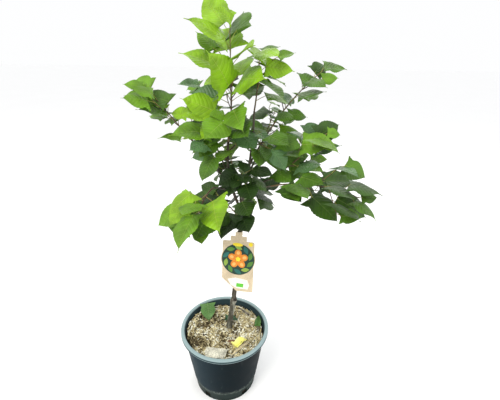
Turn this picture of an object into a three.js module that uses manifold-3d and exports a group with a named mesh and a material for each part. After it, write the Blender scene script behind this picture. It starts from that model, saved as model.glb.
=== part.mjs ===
// A dwarf apricot tree, a little over a metre high, growing in a round nursery pot.
// Millimetres, +Z up. The origin is the centre of the pot's flat underside.
// +X is to the right of the tree's front, and -Y points out of its front.

import * as THREE from 'three';
import { mergeVertices } from 'three/addons/utils/BufferGeometryUtils.js';
import Module from 'manifold-3d';

const wasm = await Module();
wasm.setup();

// Clearance between pieces that touch.
const GAP = 0.3;

// Pot: a tapered tub on a narrower foot, with a lip that stands out at the rim.
const POT = {
  height: 225,
  rimRadius: 140,
  lipHeight: 13,
  lipOverhang: 8,
  lipChamfer: 1,
  footRadius: 100,
  footTopRadius: 103.8,
  footStep: 2.6,
  footHeight: 41,
  wall: 2.6,
  floor: 3,
  sides: 36,
};

// Drain holes: square openings in the wall of the foot, the first of them at an azimuth in degrees.
const DRAIN = { count: 5, first: -121, width: 20, bottom: 4.5, top: 24 };

// Mulch: the filling up to its top, level round the trunk and banked up towards the wall.
const MULCH = { top: 190, levelRadius: 40, bankRadius: 104, bank: 9, edgeDrop: 2, sides: 24 };

// Trunk: a slim leaning stem with a root flare and the swelling of its graft.
const TRUNK = {
  footX: 11,
  footY: 25,
  sides: 9,
  flare: 3.6,
  flareHeight: 14,
  belowGraft: 8.4,
  aboveGraft: 7.6,
  fork: 5.2,
  graftHeight: 118,
  graftSwell: 1.8,
  graftHalfHeight: 12,
};

// Limbs. Azimuth 0 is +X and 90 is +Y, and rise is measured from the level, both in degrees.
// A limb starts at a share of the limb that it grows on, and bend is added to its rise on the way.
const LIMBS = {
  trunk: { azimuth: 0, rise: 81.5, length: 453, bend: 7, steps: 24 },
  leader_left: {
    on: 'trunk', share: 0.97, azimuth: 195, rise: 64, length: 250, bend: 40, steps: 9, radii: [4.2, 2.9],
  },
  leader_right: {
    on: 'trunk', share: 1, azimuth: 0, rise: 77, length: 260, bend: 12, steps: 9, radii: [4.4, 2.6],
  },
  bough_left: { on: 'leader_left', share: 0.32, azimuth: 180, rise: 49, length: 110, bend: 2 },
  bough_low_left: { on: 'leader_left', share: 0.24, azimuth: 236, rise: 30, length: 90, bend: -10 },
  bough_right_up: { on: 'leader_right', share: 0.46, azimuth: 17, rise: 63, length: 110, bend: -8 },
  bough_right: { on: 'leader_right', share: 0.2, azimuth: 0, rise: 22, length: 75, bend: 0 },
  bough_low_right: { on: 'leader_right', share: 0.14, azimuth: 332, rise: 30, length: 90, bend: -10 },
  bough_back_left: { on: 'leader_left', share: 0.42, azimuth: 125, rise: 42, length: 90, bend: 5 },
  bough_back_right: { on: 'leader_right', share: 0.34, azimuth: 62, rise: 38, length: 100, bend: 5 },
  bough_back: { on: 'trunk', share: 0.95, azimuth: 95, rise: 36, length: 90, bend: 12 },
  bough_front: { on: 'trunk', share: 0.95, azimuth: 268, rise: 40, length: 45, bend: -10 },
};
const BOUGH = { steps: 4, radii: [2.7, 2.1], sides: 6 };

// Masses of foliage: a stem that grows on from a limb, side twigs, and leaves on both.
// leaf is the blade's length, droop its fall below the level, lift the twigs' pull upwards,
// first the share of the stem where its leaves begin, and seed starts the mass's own draws.
const MASSES = {
  leaves_top_left: {
    on: 'leader_left', share: 1, azimuth: 300, rise: 91, length: 217, bend: 0, lift: 0.1,
    twigs: 2, twig: 40, first: 0.12, leaves: 11, perTwig: 2, leaf: 104, droop: -25, seed: 1416,
  },
  leaves_left_mid: {
    on: 'leader_left', share: 0.9, azimuth: 200, rise: 35, length: 75, bend: -10, lift: 0.1,
    twigs: 0, twig: 0, first: 0.2, leaves: 7, perTwig: 0, leaf: 86, droop: 0, seed: 256,
  },
  leaves_front_mid: {
    on: 'leader_left', share: 0.8, azimuth: 275, rise: 55, length: 75, bend: 10, lift: 0.1,
    twigs: 0, twig: 0, first: 0.2, leaves: 7, perTwig: 0, leaf: 92, droop: 10, seed: 337,
  },
  leaves_left_inner: {
    on: 'leader_left', share: 0.6, azimuth: 225, rise: 40, length: 95, bend: -10, lift: 0.1,
    twigs: 1, twig: 45, first: 0.2, leaves: 7, perTwig: 3, leaf: 66, droop: 20, seed: 872,
  },
  leaves_back_high: {
    on: 'leader_left', share: 0.95, azimuth: 85, rise: 65, length: 105, bend: 10, lift: 0.1,
    twigs: 1, twig: 45, first: 0.2, leaves: 7, perTwig: 3, leaf: 78, droop: 5, seed: 1195,
  },
  leaves_back_mid: {
    on: 'leader_left', share: 0.7, azimuth: 50, rise: 20, length: 80, bend: 10, lift: 0.1,
    twigs: 1, twig: 45, first: 0.2, leaves: 7, perTwig: 3, leaf: 74, droop: 35, seed: 592,
  },
  leaves_left: {
    on: 'bough_left', share: 1, azimuth: 175, rise: 50, length: 215, bend: 0, lift: 0.1,
    twigs: 3, twig: 55, first: 0.05, leaves: 11, perTwig: 3, leaf: 74, droop: 0, seed: 612,
  },
  leaves_low_left: {
    on: 'bough_low_left', share: 1, azimuth: 250, rise: 5, length: 115, bend: -70, lift: -0.3,
    twigs: 3, twig: 60, first: 0.1, leaves: 8, perTwig: 2, leaf: 94, droop: 25, seed: 1729,
  },
  leaves_top_right: {
    on: 'leader_right', share: 1, azimuth: 40, rise: 79, length: 130, bend: 10, lift: 0.1,
    twigs: 2, twig: 50, first: 0.15, leaves: 9, perTwig: 3, leaf: 84, droop: 10, seed: 325,
  },
  leaves_centre_front: {
    on: 'leader_right', share: 0.66, azimuth: 325, rise: 20, length: 75, bend: 10, lift: 0.1,
    twigs: 1, twig: 40, first: 0.2, leaves: 7, perTwig: 3, leaf: 72, droop: 35, seed: 968,
  },
  leaves_centre_low: {
    on: 'leader_right', share: 0.3, azimuth: 255, rise: 25, length: 55, bend: -10, lift: 0,
    twigs: 1, twig: 40, first: 0.2, leaves: 6, perTwig: 3, leaf: 72, droop: 15, seed: 288,
  },
  leaves_right_up: {
    on: 'bough_right_up', share: 1, azimuth: 27, rise: 53, length: 220, bend: -22, lift: 0.1,
    twigs: 2, twig: 45, first: 0.05, leaves: 10, perTwig: 2, leaf: 72, droop: 0, seed: 123,
  },
  leaves_right: {
    on: 'bough_right', share: 1, azimuth: 345, rise: 40, length: 185, bend: 10, lift: 0.1,
    twigs: 4, twig: 60, first: 0.05, leaves: 10, perTwig: 3, leaf: 78, droop: 0, seed: 204,
  },
  leaves_low_right: {
    on: 'bough_low_right', share: 1, azimuth: 335, rise: 20, length: 225, bend: -35, lift: -0.3,
    twigs: 4, twig: 65, first: 0.1, leaves: 10, perTwig: 3, leaf: 84, droop: 15, seed: 206,
  },
  leaves_back_left: {
    on: 'bough_back_left', share: 1, azimuth: 135, rise: 65, length: 175, bend: 0, lift: 0.1,
    twigs: 3, twig: 55, first: 0.05, leaves: 9, perTwig: 3, leaf: 74, droop: 25, seed: 1367,
  },
  leaves_back_right: {
    on: 'bough_back_right', share: 1, azimuth: 70, rise: 32, length: 150, bend: 0, lift: 0.1,
    twigs: 3, twig: 55, first: 0.05, leaves: 9, perTwig: 3, leaf: 74, droop: 15, seed: 687,
  },
  leaves_back: {
    on: 'bough_back', share: 1, azimuth: 113, rise: 35, length: 115, bend: -10, lift: 0,
    twigs: 3, twig: 60, first: 0.05, leaves: 9, perTwig: 3, leaf: 78, droop: 30, seed: 4,
  },
  leaves_front_low: {
    on: 'bough_front', share: 1, azimuth: 255, rise: 30, length: 45, bend: -40, lift: -0.2,
    twigs: 1, twig: 40, first: 0.1, leaves: 7, perTwig: 3, leaf: 80, droop: 15, seed: 290,
  },
  leaves_back_low_left: {
    on: 'trunk', share: 0.9, azimuth: 150, rise: 45, length: 105, bend: -20, lift: 0,
    twigs: 1, twig: 50, first: 0.3, leaves: 7, perTwig: 3, leaf: 76, droop: 5, seed: 3,
  },
  leaves_back_low_right: {
    on: 'trunk', share: 0.92, azimuth: 60, rise: 30, length: 105, bend: -15, lift: 0,
    twigs: 2, twig: 50, first: 0.3, leaves: 7, perTwig: 3, leaf: 76, droop: 25, seed: 1430,
  },
};
const STEM = { steps: 8, sides: 3, radii: [2.2, 1.3] };

// Side twigs: they start on the stem between the shares from and to, pointing ahead and aside.
const TWIG = {
  steps: 3,
  sides: 3,
  radii: [1.3, 0.9],
  from: 0.1,
  to: 0.75,
  ahead: 0.6,
  aside: 0.8,
  lengthSpread: 0.2,
  bend: 15,
  bendSpread: 15,
  firstLeaf: 0.45,
  leafScale: 0.88,
};

// How leaves stand on a stem or twig. Pairs are the values at its foot and at its end, angles are
// in degrees, and a spread is the most that a draw adds or takes away.
const STAND = {
  turn: 137.5,
  turnSpread: 20,
  open: [70, 40],
  openSpread: 12,
  lift: 0.15,
  inset: 0.4,
  smallest: 0.74,
  fullest: 1.2,
  lastSize: 0.75,
  sizeSpread: 0.14,
  stalk: [0.44, 0.3],
  ahead: 0.3,
  outward: 0.8,
  drift: 0.15,
  fall: [6, -12],
  fallSpread: 20,
  faceOutward: 0.42,
  rollSpread: 26,
  lastNode: 0.98,
};

// Leaves: a broad blade with a short drawn-out tip, on a slim stalk. Widths, thickness, curl and
// sections are shares of the blade's length, and fold is the rise of its halves in degrees.
const LEAF = {
  halfWidth: 0.375,
  shoulder: 0.72,
  fullness: 0.85,
  bodyEnd: 0.9,
  tipWidth: 0.42,
  tipPower: 1.5,
  sections: [0.2, 0.6],
  halfThickness: 0.0065,
  fold: [4, 26],
  curl: [0.04, 0.26],
  curlDraw: 0.25,
  stalkRadius: 0.8,
  rootShare: 0.25,
};

// The side that the light comes from, and the upright line that the crown spreads from.
const LIGHT = new THREE.Vector3(-0.05, -0.52, 0.85);
const CROWN_AXIS = { x: 45, y: 15 };

// Card label: a tall card with a round bulge, a stepped neck and one corner cut off.
// Its neck hangs on a band round the trunk, and its foot swings out to the front.
const LABEL = {
  width: 94,
  bodyHeight: 158,
  shoulderWidth: 48,
  shoulderHeight: 15,
  neckWidth: 20,
  neckHeight: 12,
  bulgeRadius: 51,
  bulgeHeight: 102,
  cutWidth: 45,
  cutHeight: 39,
  thickness: 1,
  topHeight: 559,
  sideShift: -1.3,
  swing: 11,
  turn: -8,
};
const BAND = { height: 12, thickness: 1, clear: 1.2, belowTop: 1, sides: 12 };

// What lies on the mulch: fallen leaves and chips of wood.
const FALLEN = {
  fallen_leaf_left: { x: -67, y: 90, azimuth: -79, length: 65, rise: -30, fold: 10, look: 'midLeaf' },
  fallen_leaf_back: { x: -3, y: 52, azimuth: 0, length: 50, rise: 2, fold: 50, look: 'midLeaf' },
  fallen_leaf_right: { x: 107, y: 22, azimuth: 82, length: 38, rise: 48, fold: 45, look: 'darkLeaf' },
  fallen_leaf_yellow: { x: 34, y: -71, azimuth: 45, length: 60, rise: 3, fold: 56, look: 'yellowLeaf' },
};
const FALLEN_SHAPE = { stalk: 6, curl: 0.08 };
const CHIP = { x: -22, y: -95.5, azimuth: -6, length: 60, width: 38, height: 10, sides: 6, upper: 0.8 };

const UP = new THREE.Vector3(0, 0, 1);

// The direction that the first corner of a bar's rings is turned towards.
const RING_LEAD = new THREE.Vector3(0.31, 0.95, 0);

// The upward share of a direction from which it counts as upright.
const STEEP = 0.985;

// Corners nearer than this are one corner.
const MERGE_DISTANCE = 1e-4;
const radians = THREE.MathUtils.degToRad;
const degrees = THREE.MathUtils.radToDeg;
const lerp = THREE.MathUtils.lerp;

// A list of a given length from a rule for each place in it.
function spaced(count, rule) {
  return Array.from({ length: count }, (_, i) => rule(i));
}

// Park-Miller draws: the same numbers from the same seed in any language. Seeds start a stride
// apart, and the first few draws of each are passed over.
const DRAW = { factor: 16807, modulus: 2147483647, start: 1000, stride: 7919, passedOver: 3 };

class Draws {
  constructor(seed) {
    this.state = DRAW.start + seed * DRAW.stride;
    for (let i = 0; i < DRAW.passedOver; i++) this.share();
  }

  share() {
    this.state = (this.state * DRAW.factor) % DRAW.modulus;
    return this.state / DRAW.modulus;
  }

  spread(half) {
    return (this.share() * 2 - 1) * half;
  }
}

// The unit vector at an azimuth and rise.
function heading(azimuth, rise) {
  const a = radians(azimuth);
  const r = radians(rise);
  return new THREE.Vector3(Math.cos(a) * Math.cos(r), Math.sin(a) * Math.cos(r), Math.sin(r));
}

// Points of a limb or twig in equal steps, its rise changing evenly by bend.
function bentPath(start, { azimuth, rise, length, bend, steps }) {
  const path = [start];
  for (let i = 0; i < steps; i++) {
    const share = (i + 0.5) / steps;
    const step = heading(azimuth, rise + bend * share).multiplyScalar(length / steps);
    path.push(path[i].clone().add(step));
  }
  return path;
}

// The point and direction at a share of a path of equal steps.
function along(path, share) {
  const steps = path.length - 1;
  const k = Math.min(steps - 1, Math.floor(share * steps));
  const step = path[k + 1].clone().sub(path[k]);
  const point = path[k].clone().addScaledVector(step, share * steps - k);
  return { point, direction: step.normalize() };
}

// A unit vector square to a direction, turned about it by an angle in degrees.
function sideOf(direction, turn) {
  const leaning = Math.abs(direction.z) < STEEP;
  const first = leaning ? direction.clone().cross(UP).normalize() : new THREE.Vector3(1, 0, 0);
  const second = direction.clone().cross(first);
  const a = radians(turn);
  return first.multiplyScalar(Math.cos(a)).addScaledVector(second, Math.sin(a));
}

// One leaf: where its stalk leaves the twig, where the blade starts, and how the blade lies.
function growLeaf(draws, { point, direction }, turn, share, size, droop) {
  const side = sideOf(direction, turn);
  const open = radians(lerp(...STAND.open, share) + draws.spread(STAND.openSpread));
  const out = direction.clone().multiplyScalar(Math.cos(open)).addScaledVector(side, Math.sin(open));
  out.addScaledVector(UP, STAND.lift).normalize();
  const fullness = lerp(STAND.smallest, 1, Math.sin(Math.PI * share ** STAND.fullest));
  const length = size * fullness * (1 + draws.spread(STAND.sizeSpread));
  const foot = point.clone().addScaledVector(out, length * lerp(...STAND.stalk, share));
  const outward = new THREE.Vector3(foot.x - CROWN_AXIS.x, foot.y - CROWN_AXIS.y, 0).normalize();
  const flat = out.clone().addScaledVector(direction, STAND.ahead).addScaledVector(outward, STAND.outward);
  flat.x += draws.spread(STAND.drift);
  flat.y += draws.spread(STAND.drift);
  flat.setZ(0).normalize();
  const fall = radians(droop + draws.spread(STAND.fallSpread) + lerp(...STAND.fall, share));
  const run = flat.multiplyScalar(Math.cos(fall)).addScaledVector(UP, -Math.sin(fall));
  const face = LIGHT.clone().addScaledVector(outward, STAND.faceOutward).normalize();
  face.addScaledVector(run, -face.dot(run)).normalize();
  const across = run.clone().cross(face);
  const roll = radians(draws.spread(STAND.rollSpread));
  face.multiplyScalar(Math.cos(roll)).addScaledVector(across, Math.sin(roll));
  return {
    node: point,
    foot,
    out,
    run,
    face,
    across: run.clone().cross(face),
    length,
    fold: radians(lerp(...LEAF.fold, draws.share())),
    curl: lerp(...LEAF.curl, draws.share()),
  };
}

// The leaves of a stem or twig, at the given shares of it.
function growLeaves(draws, path, shares, size, droop) {
  const first = draws.share() * 360;
  return shares.map((share, i) => {
    const node = along(path, Math.min(share, STAND.lastNode));
    const turn = first + STAND.turn * i + draws.spread(STAND.turnSpread);
    return growLeaf(draws, node, turn, share, size(i), droop);
  });
}

// A side twig's path and leaves, from a point of the stem.
function growTwig(draws, mass, { point, direction }, turn) {
  const side = sideOf(direction, turn + draws.spread(STAND.turnSpread));
  const go = direction.clone().multiplyScalar(TWIG.ahead).addScaledVector(side, TWIG.aside);
  go.addScaledVector(UP, mass.lift).normalize();
  const path = bentPath(point, {
    azimuth: degrees(Math.atan2(go.y, go.x)),
    rise: degrees(Math.asin(go.z)),
    length: mass.twig * (1 + draws.spread(TWIG.lengthSpread)),
    bend: TWIG.bend + draws.spread(TWIG.bendSpread),
    steps: TWIG.steps,
  });
  const shares = spaced(mass.perTwig, (i) => lerp(TWIG.firstLeaf, 1, i / (mass.perTwig - 1)));
  const size = mass.leaf * TWIG.leafScale;
  return { path, leaves: growLeaves(draws, path, shares, () => size, mass.droop) };
}

// A mass's stem, side twigs and leaves, each twig with the leaves that it carries.
function growMass(mass, limbPath) {
  const draws = new Draws(mass.seed);
  const start = along(limbPath, mass.share).point;
  const stem = bentPath(start, { ...mass, steps: STEM.steps });
  const last = mass.leaves - 1;
  const shares = spaced(mass.leaves, (i) => {
    return i === last ? 1 : lerp(mass.first, 1, (i + STAND.inset) / (last + STAND.inset));
  });
  const size = (i) => (i === last ? mass.leaf * STAND.lastSize : mass.leaf);
  const leaves = growLeaves(draws, stem, shares, size, mass.droop);
  const spin = draws.share() * 360;
  const twigs = spaced(mass.twigs, (k) => {
    const node = along(stem, lerp(TWIG.from, TWIG.to, (k + 0.5) / mass.twigs));
    return growTwig(draws, mass, node, spin + STAND.turn * k);
  });
  return { stem, leaves, twigs };
}

// Half the blade's width at a share of its length, as a share of its length.
function leafHalfWidth(share) {
  const inBody = Math.min(share / LEAF.bodyEnd, 1);
  const body = LEAF.halfWidth * Math.sin(Math.PI * inBody ** LEAF.shoulder) ** LEAF.fullness;
  return Math.max(body, LEAF.tipWidth * (1 - share) ** LEAF.tipPower);
}

// A point of the blade at a share of its midrib and side -1 to 1, folded and curled.
function bladePoint(leaf, share, side) {
  const width = leafHalfWidth(share) * leaf.length * side;
  const bow = -leaf.curl * leaf.length * share * share;
  return leaf.foot
    .clone()
    .addScaledVector(leaf.run, leaf.length * share * (1 - LEAF.curlDraw * leaf.curl * share))
    .addScaledVector(leaf.face, bow + Math.abs(width) * Math.sin(leaf.fold))
    .addScaledVector(leaf.across, width * Math.cos(leaf.fold));
}

// A closed geometry from corner points and triangles.
function facets(points, triangles) {
  const geometry = new THREE.BufferGeometry();
  const spots = points.flatMap((point) => point.toArray());
  geometry.setAttribute('position', new THREE.Float32BufferAttribute(spots, 3));
  geometry.setIndex(triangles);
  return geometry;
}

// A stalk's ring of three corners round a centre, in the order left, under, right.
function stalkRing(centre, across, face, radius) {
  return [
    centre.clone().addScaledVector(across, radius).addScaledVector(face, radius / 2),
    centre.clone().addScaledVector(face, -radius),
    centre.clone().addScaledVector(across, -radius).addScaledVector(face, radius / 2),
  ];
}

// A blade's ring of four corners at a share of its length, in the order left, under, right, over.
function bladeRing(leaf, share, half, grow) {
  const rib = bladePoint(leaf, share, 0);
  return [
    bladePoint(leaf, share, 1).addScaledVector(leaf.across, grow),
    rib.clone().addScaledVector(leaf.face, -half),
    bladePoint(leaf, share, -1).addScaledVector(leaf.across, -grow),
    rib.clone().addScaledVector(leaf.face, half),
  ];
}

// Triangles between two rings of four corners, or from one ring to a single corner at its end.
function bladeSkin(ring, next, closing) {
  const triangles = [];
  for (let k = 0; k < 4; k++) {
    const m = (k + 1) % 4;
    if (closing) triangles.push(ring + k, ring + m, next);
    else triangles.push(ring + k, ring + m, next + m, ring + k, next + m, next + k);
  }
  return triangles;
}

// One solid for a leaf: a three-sided stalk that widens into a blade with sharp edges, thickest
// at its midrib. grow swells it evenly, for the clearance test.
function leafGeometry(leaf, grow = 0) {
  const radius = LEAF.stalkRadius + grow;
  const half = LEAF.halfThickness * leaf.length + grow;
  const stalkAcross = leaf.across.clone().addScaledVector(leaf.out, -leaf.across.dot(leaf.out));
  stalkAcross.normalize();
  const stalkFace = stalkAcross.clone().cross(leaf.out);
  const points = [
    ...stalkRing(leaf.node, stalkAcross, stalkFace, radius),
    ...stalkRing(leaf.foot, leaf.across, leaf.face, radius),
    ...LEAF.sections.flatMap((share) => bladeRing(leaf, share, half, 2 * grow)),
    bladePoint(leaf, 1, 0).addScaledVector(leaf.run, 4 * grow),
  ];
  const end = [0, 2, 1];
  const stalk = [0, 1, 4, 0, 4, 3, 1, 2, 5, 1, 5, 4, 2, 0, 3, 2, 3, 5];
  const foot = [3, 4, 7, 3, 7, 6, 4, 5, 8, 4, 8, 7, 5, 3, 9, 5, 9, 8, 3, 6, 9];
  const blade = [...bladeSkin(6, 10, false), ...bladeSkin(10, 14, true)];
  return facets(points, [...end, ...stalk, ...foot, ...blade]);
}

// Position only, with shared corners merged and the faces that this closes up dropped.
function bare(geometry) {
  geometry.deleteAttribute('normal');
  geometry.deleteAttribute('uv');
  const merged = mergeVertices(geometry, MERGE_DISTANCE);
  const corners = Array.from(merged.index.array);
  const kept = [];
  for (let i = 0; i < corners.length; i += 3) {
    const [a, b, c] = corners.slice(i, i + 3);
    if (a !== b && b !== c && c !== a) kept.push(a, b, c);
  }
  merged.setIndex(kept);
  return merged;
}

// A round bar that follows a path: a cylinder whose rings are carried to the path's points.
// Rings stay level on an upright bar with a flat foot, and are square to the path otherwise.
function barGeometry(path, radiusAt, sides, level = false) {
  const steps = path.length - 1;
  const bar = bare(new THREE.CylinderGeometry(1, 1, 1, sides, steps));
  const spots = bar.getAttribute('position');
  const across = [];
  const over = [];
  const lead = RING_LEAD.clone();
  for (let i = 0; i <= steps; i++) {
    const direction = level ? UP.clone() : along(path, i / steps).direction;
    lead.addScaledVector(direction, -lead.dot(direction)).normalize();
    across.push(lead.clone());
    over.push(lead.clone().cross(direction));
  }
  for (let i = 0; i < spots.count; i++) {
    const ring = Math.round((spots.getY(i) + 0.5) * steps);
    const radius = radiusAt(ring / steps);
    const point = path[ring]
      .clone()
      .addScaledVector(across[ring], spots.getX(i) * radius)
      .addScaledVector(over[ring], spots.getZ(i) * radius);
    spots.setXYZ(i, point.x, point.y, point.z);
  }
  return bar;
}

// Between a geometry and a solid that can be joined and cut.
function solidOf(geometry) {
  return new wasm.Manifold(
    new wasm.Mesh({
      numProp: 3,
      vertProperties: Float32Array.from(geometry.getAttribute('position').array),
      triVerts: Uint32Array.from(geometry.index.array),
    }),
  );
}

function geometryOf(solid) {
  const { vertProperties, triVerts } = solid.getMesh();
  const geometry = new THREE.BufferGeometry();
  geometry.setAttribute('position', new THREE.Float32BufferAttribute(vertProperties, 3));
  geometry.setIndex(Array.from(triVerts));
  geometry.computeVertexNormals();
  return geometry;
}

// A solid with the box round it, so that far pieces need no cut.
function piece(geometry) {
  geometry.computeBoundingBox();
  return { solid: solidOf(geometry), box: geometry.boundingBox.clone() };
}

// Whether two pieces share any space.
function meets(a, b) {
  if (!a.box.intersectsBox(b.box)) return false;
  const shared = a.solid.intersect(b.solid);
  const touching = !shared.isEmpty();
  shared.delete();
  return touching;
}

// The largest body of a solid that a cut may have left in several.
function largest(solid) {
  return solid.decompose().reduce((a, b) => (b.volume() > a.volume() ? b : a));
}

function material(color, roughness) {
  return new THREE.MeshStandardMaterial({ color, roughness, metalness: 0 });
}

const COLOURS = {
  pot: material(0x3b4a52, 0.55),
  mulch: material(0xb7a184, 0.95),
  bark: material(0x5a4a3c, 0.85),
  brightLeaf: material(0x8dbb2e, 0.5),
  midLeaf: material(0x5b8f2c, 0.5),
  darkLeaf: material(0x3d6a2b, 0.5),
  card: material(0xc9a880, 0.8),
  yellowLeaf: material(0xe3cf52, 0.6),
  chip: material(0xcdc3b3, 0.9),
};

const tree = new THREE.Group();

// Adds a geometry to the tree as a named mesh.
function place(name, geometry, look) {
  const mesh = new THREE.Mesh(geometry, look);
  mesh.name = name;
  tree.add(mesh);
  return mesh;
}

// A body turned about the upright axis from its half section, given as radius and height pairs.
function turned(profile, sides) {
  const half = profile.map(([radius, height]) => new THREE.Vector2(radius, height));
  return bare(new THREE.LatheGeometry(half, sides).rotateX(Math.PI / 2));
}

// Radius of the pot's outer wall at a height between its foot and its lip.
function potRadius(height) {
  const share = (height - POT.footHeight) / (POT.height - POT.footHeight);
  return lerp(POT.footTopRadius + POT.footStep, POT.rimRadius - POT.lipOverhang, share);
}

// The blocks that the drain holes are cut with, from inside the foot's wall to outside it.
function drainCutters() {
  const middle = (DRAIN.bottom + DRAIN.top) / 2;
  return spaced(DRAIN.count, (k) => {
    const depth = 4 * POT.wall + POT.footTopRadius - POT.footRadius;
    const block = new THREE.BoxGeometry(depth, DRAIN.width, DRAIN.top - DRAIN.bottom);
    block.translate(POT.footRadius, 0, middle).rotateZ(radians(DRAIN.first + (360 / DRAIN.count) * k));
    return solidOf(bare(block));
  });
}

function buildPot() {
  const lipFoot = POT.height - POT.lipHeight;
  const shoulder = POT.footHeight - POT.footStep;
  const inner = (height) => potRadius(height) - POT.wall;
  const profile = [
    [0, 0],
    [POT.footRadius, 0],
    [POT.footTopRadius, shoulder],
    [potRadius(POT.footHeight), POT.footHeight],
    [potRadius(lipFoot), lipFoot],
    [POT.rimRadius, lipFoot],
    [POT.rimRadius, POT.height - POT.lipChamfer],
    [POT.rimRadius - POT.lipChamfer, POT.height],
    [inner(POT.height), POT.height],
    [inner(POT.footHeight), POT.footHeight],
    [POT.footTopRadius - POT.wall, shoulder],
    [POT.footRadius - POT.wall, POT.floor],
    [0, POT.floor],
  ];
  const tub = solidOf(turned(profile, POT.sides));
  place('pot', geometryOf(wasm.Manifold.difference([tub, ...drainCutters()])), COLOURS.pot);
}

// Height of the mulch's top at a distance from the pot's axis.
function mulchHeight(radius) {
  const share = (radius - MULCH.levelRadius) / (MULCH.bankRadius - MULCH.levelRadius);
  return MULCH.top + MULCH.bank * THREE.MathUtils.clamp(share, 0, 1);
}

function buildMulch() {
  // The pot's faceted wall comes nearer the axis midway between its corners.
  const clear = Math.cos(Math.PI / POT.sides);
  const wall = (height) => (potRadius(height) - POT.wall) * clear - GAP;
  const bankTop = MULCH.top + MULCH.bank;
  const edgeTop = bankTop - MULCH.edgeDrop;
  const profile = [
    [0, POT.floor + GAP],
    [(POT.footRadius - POT.wall) * clear - 2 * GAP, POT.floor + GAP],
    [(POT.footTopRadius - POT.wall) * clear - 2 * GAP, POT.footHeight - POT.footStep],
    [wall(POT.footHeight) - GAP, POT.footHeight + GAP],
    [wall(edgeTop), edgeTop],
    [MULCH.bankRadius, bankTop],
    [MULCH.levelRadius, MULCH.top],
    [0, MULCH.top],
  ];
  place('mulch', turned(profile, MULCH.sides), COLOURS.mulch);
}

// The trunk's radius at a height above the mulch.
function trunkRadius(height, length) {
  const overGraft = height > TRUNK.graftHeight;
  const share = (height - TRUNK.graftHeight) / (length - TRUNK.graftHeight);
  const stem = overGraft ? lerp(TRUNK.aboveGraft, TRUNK.fork, share) : TRUNK.belowGraft;
  const flare = TRUNK.flare * Math.exp(-height / TRUNK.flareHeight);
  const swell = TRUNK.graftSwell * Math.exp(-(((height - TRUNK.graftHeight) / TRUNK.graftHalfHeight) ** 2));
  return stem + flare + swell;
}

// A limb's solid, or one swollen by grow and that much longer, which cuts its neighbours clear.
function limbGeometry(name, path, grow = 0) {
  const { length, radii = BOUGH.radii } = LIMBS[name];
  const route = path.map((point) => point.clone());
  const end = along(path, 1).direction;
  route[route.length - 1].addScaledVector(end, grow);
  if (name === 'trunk') {
    return barGeometry(route, (share) => trunkRadius(share * length, length) + grow, TRUNK.sides, true);
  }
  return barGeometry(route, (share) => lerp(radii[0], radii[1], share) + grow, BOUGH.sides);
}

// Each limb starts inside the one that it grows on, and is cut clear of all that came before it.
function buildLimbs() {
  const paths = {};
  const cutters = [];
  const limbs = [];
  for (const [name, limb] of Object.entries(LIMBS)) {
    const foot = new THREE.Vector3(TRUNK.footX, TRUNK.footY, MULCH.top + GAP);
    const start = limb.on ? along(paths[limb.on], limb.share).point : foot;
    paths[name] = bentPath(start, { steps: BOUGH.steps, ...limb });
    let { solid, box } = piece(limbGeometry(name, paths[name]));
    for (const cutter of cutters) {
      if (cutter.box.intersectsBox(box)) solid = solid.subtract(cutter.solid);
    }
    solid = largest(solid);
    place(name, geometryOf(solid), COLOURS.bark);
    limbs.push({ solid, box });
    cutters.push(piece(limbGeometry(name, paths[name], GAP)));
  }
  return { paths, limbs, cutters };
}

// The card's outline with its neck's top at the origin and its foot below.
function labelShape() {
  const { width, bodyHeight, bulgeRadius, bulgeHeight, cutWidth, cutHeight } = LABEL;
  const half = width / 2;
  const shoulder = LABEL.shoulderWidth / 2;
  const neck = LABEL.neckWidth / 2;
  const bodyTop = -LABEL.neckHeight - LABEL.shoulderHeight;
  const foot = bodyTop - bodyHeight;
  const middle = foot + bulgeHeight;
  const side = Math.acos(half / bulgeRadius);
  const shape = new THREE.Shape();
  shape.moveTo(-half, foot + cutHeight);
  shape.lineTo(-half + cutWidth, foot);
  shape.lineTo(half, foot);
  shape.absarc(0, middle, bulgeRadius, -side, side, false);
  shape.lineTo(half, bodyTop);
  shape.lineTo(shoulder, bodyTop);
  shape.lineTo(shoulder, bodyTop + LABEL.shoulderHeight);
  shape.lineTo(neck, bodyTop + LABEL.shoulderHeight);
  shape.lineTo(neck, 0);
  shape.lineTo(-neck, 0);
  shape.lineTo(-neck, bodyTop + LABEL.shoulderHeight);
  shape.lineTo(-shoulder, bodyTop + LABEL.shoulderHeight);
  shape.lineTo(-shoulder, bodyTop);
  shape.lineTo(-half, bodyTop);
  shape.absarc(0, middle, bulgeRadius, Math.PI - side, Math.PI + side, false);
  return shape;
}

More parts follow.
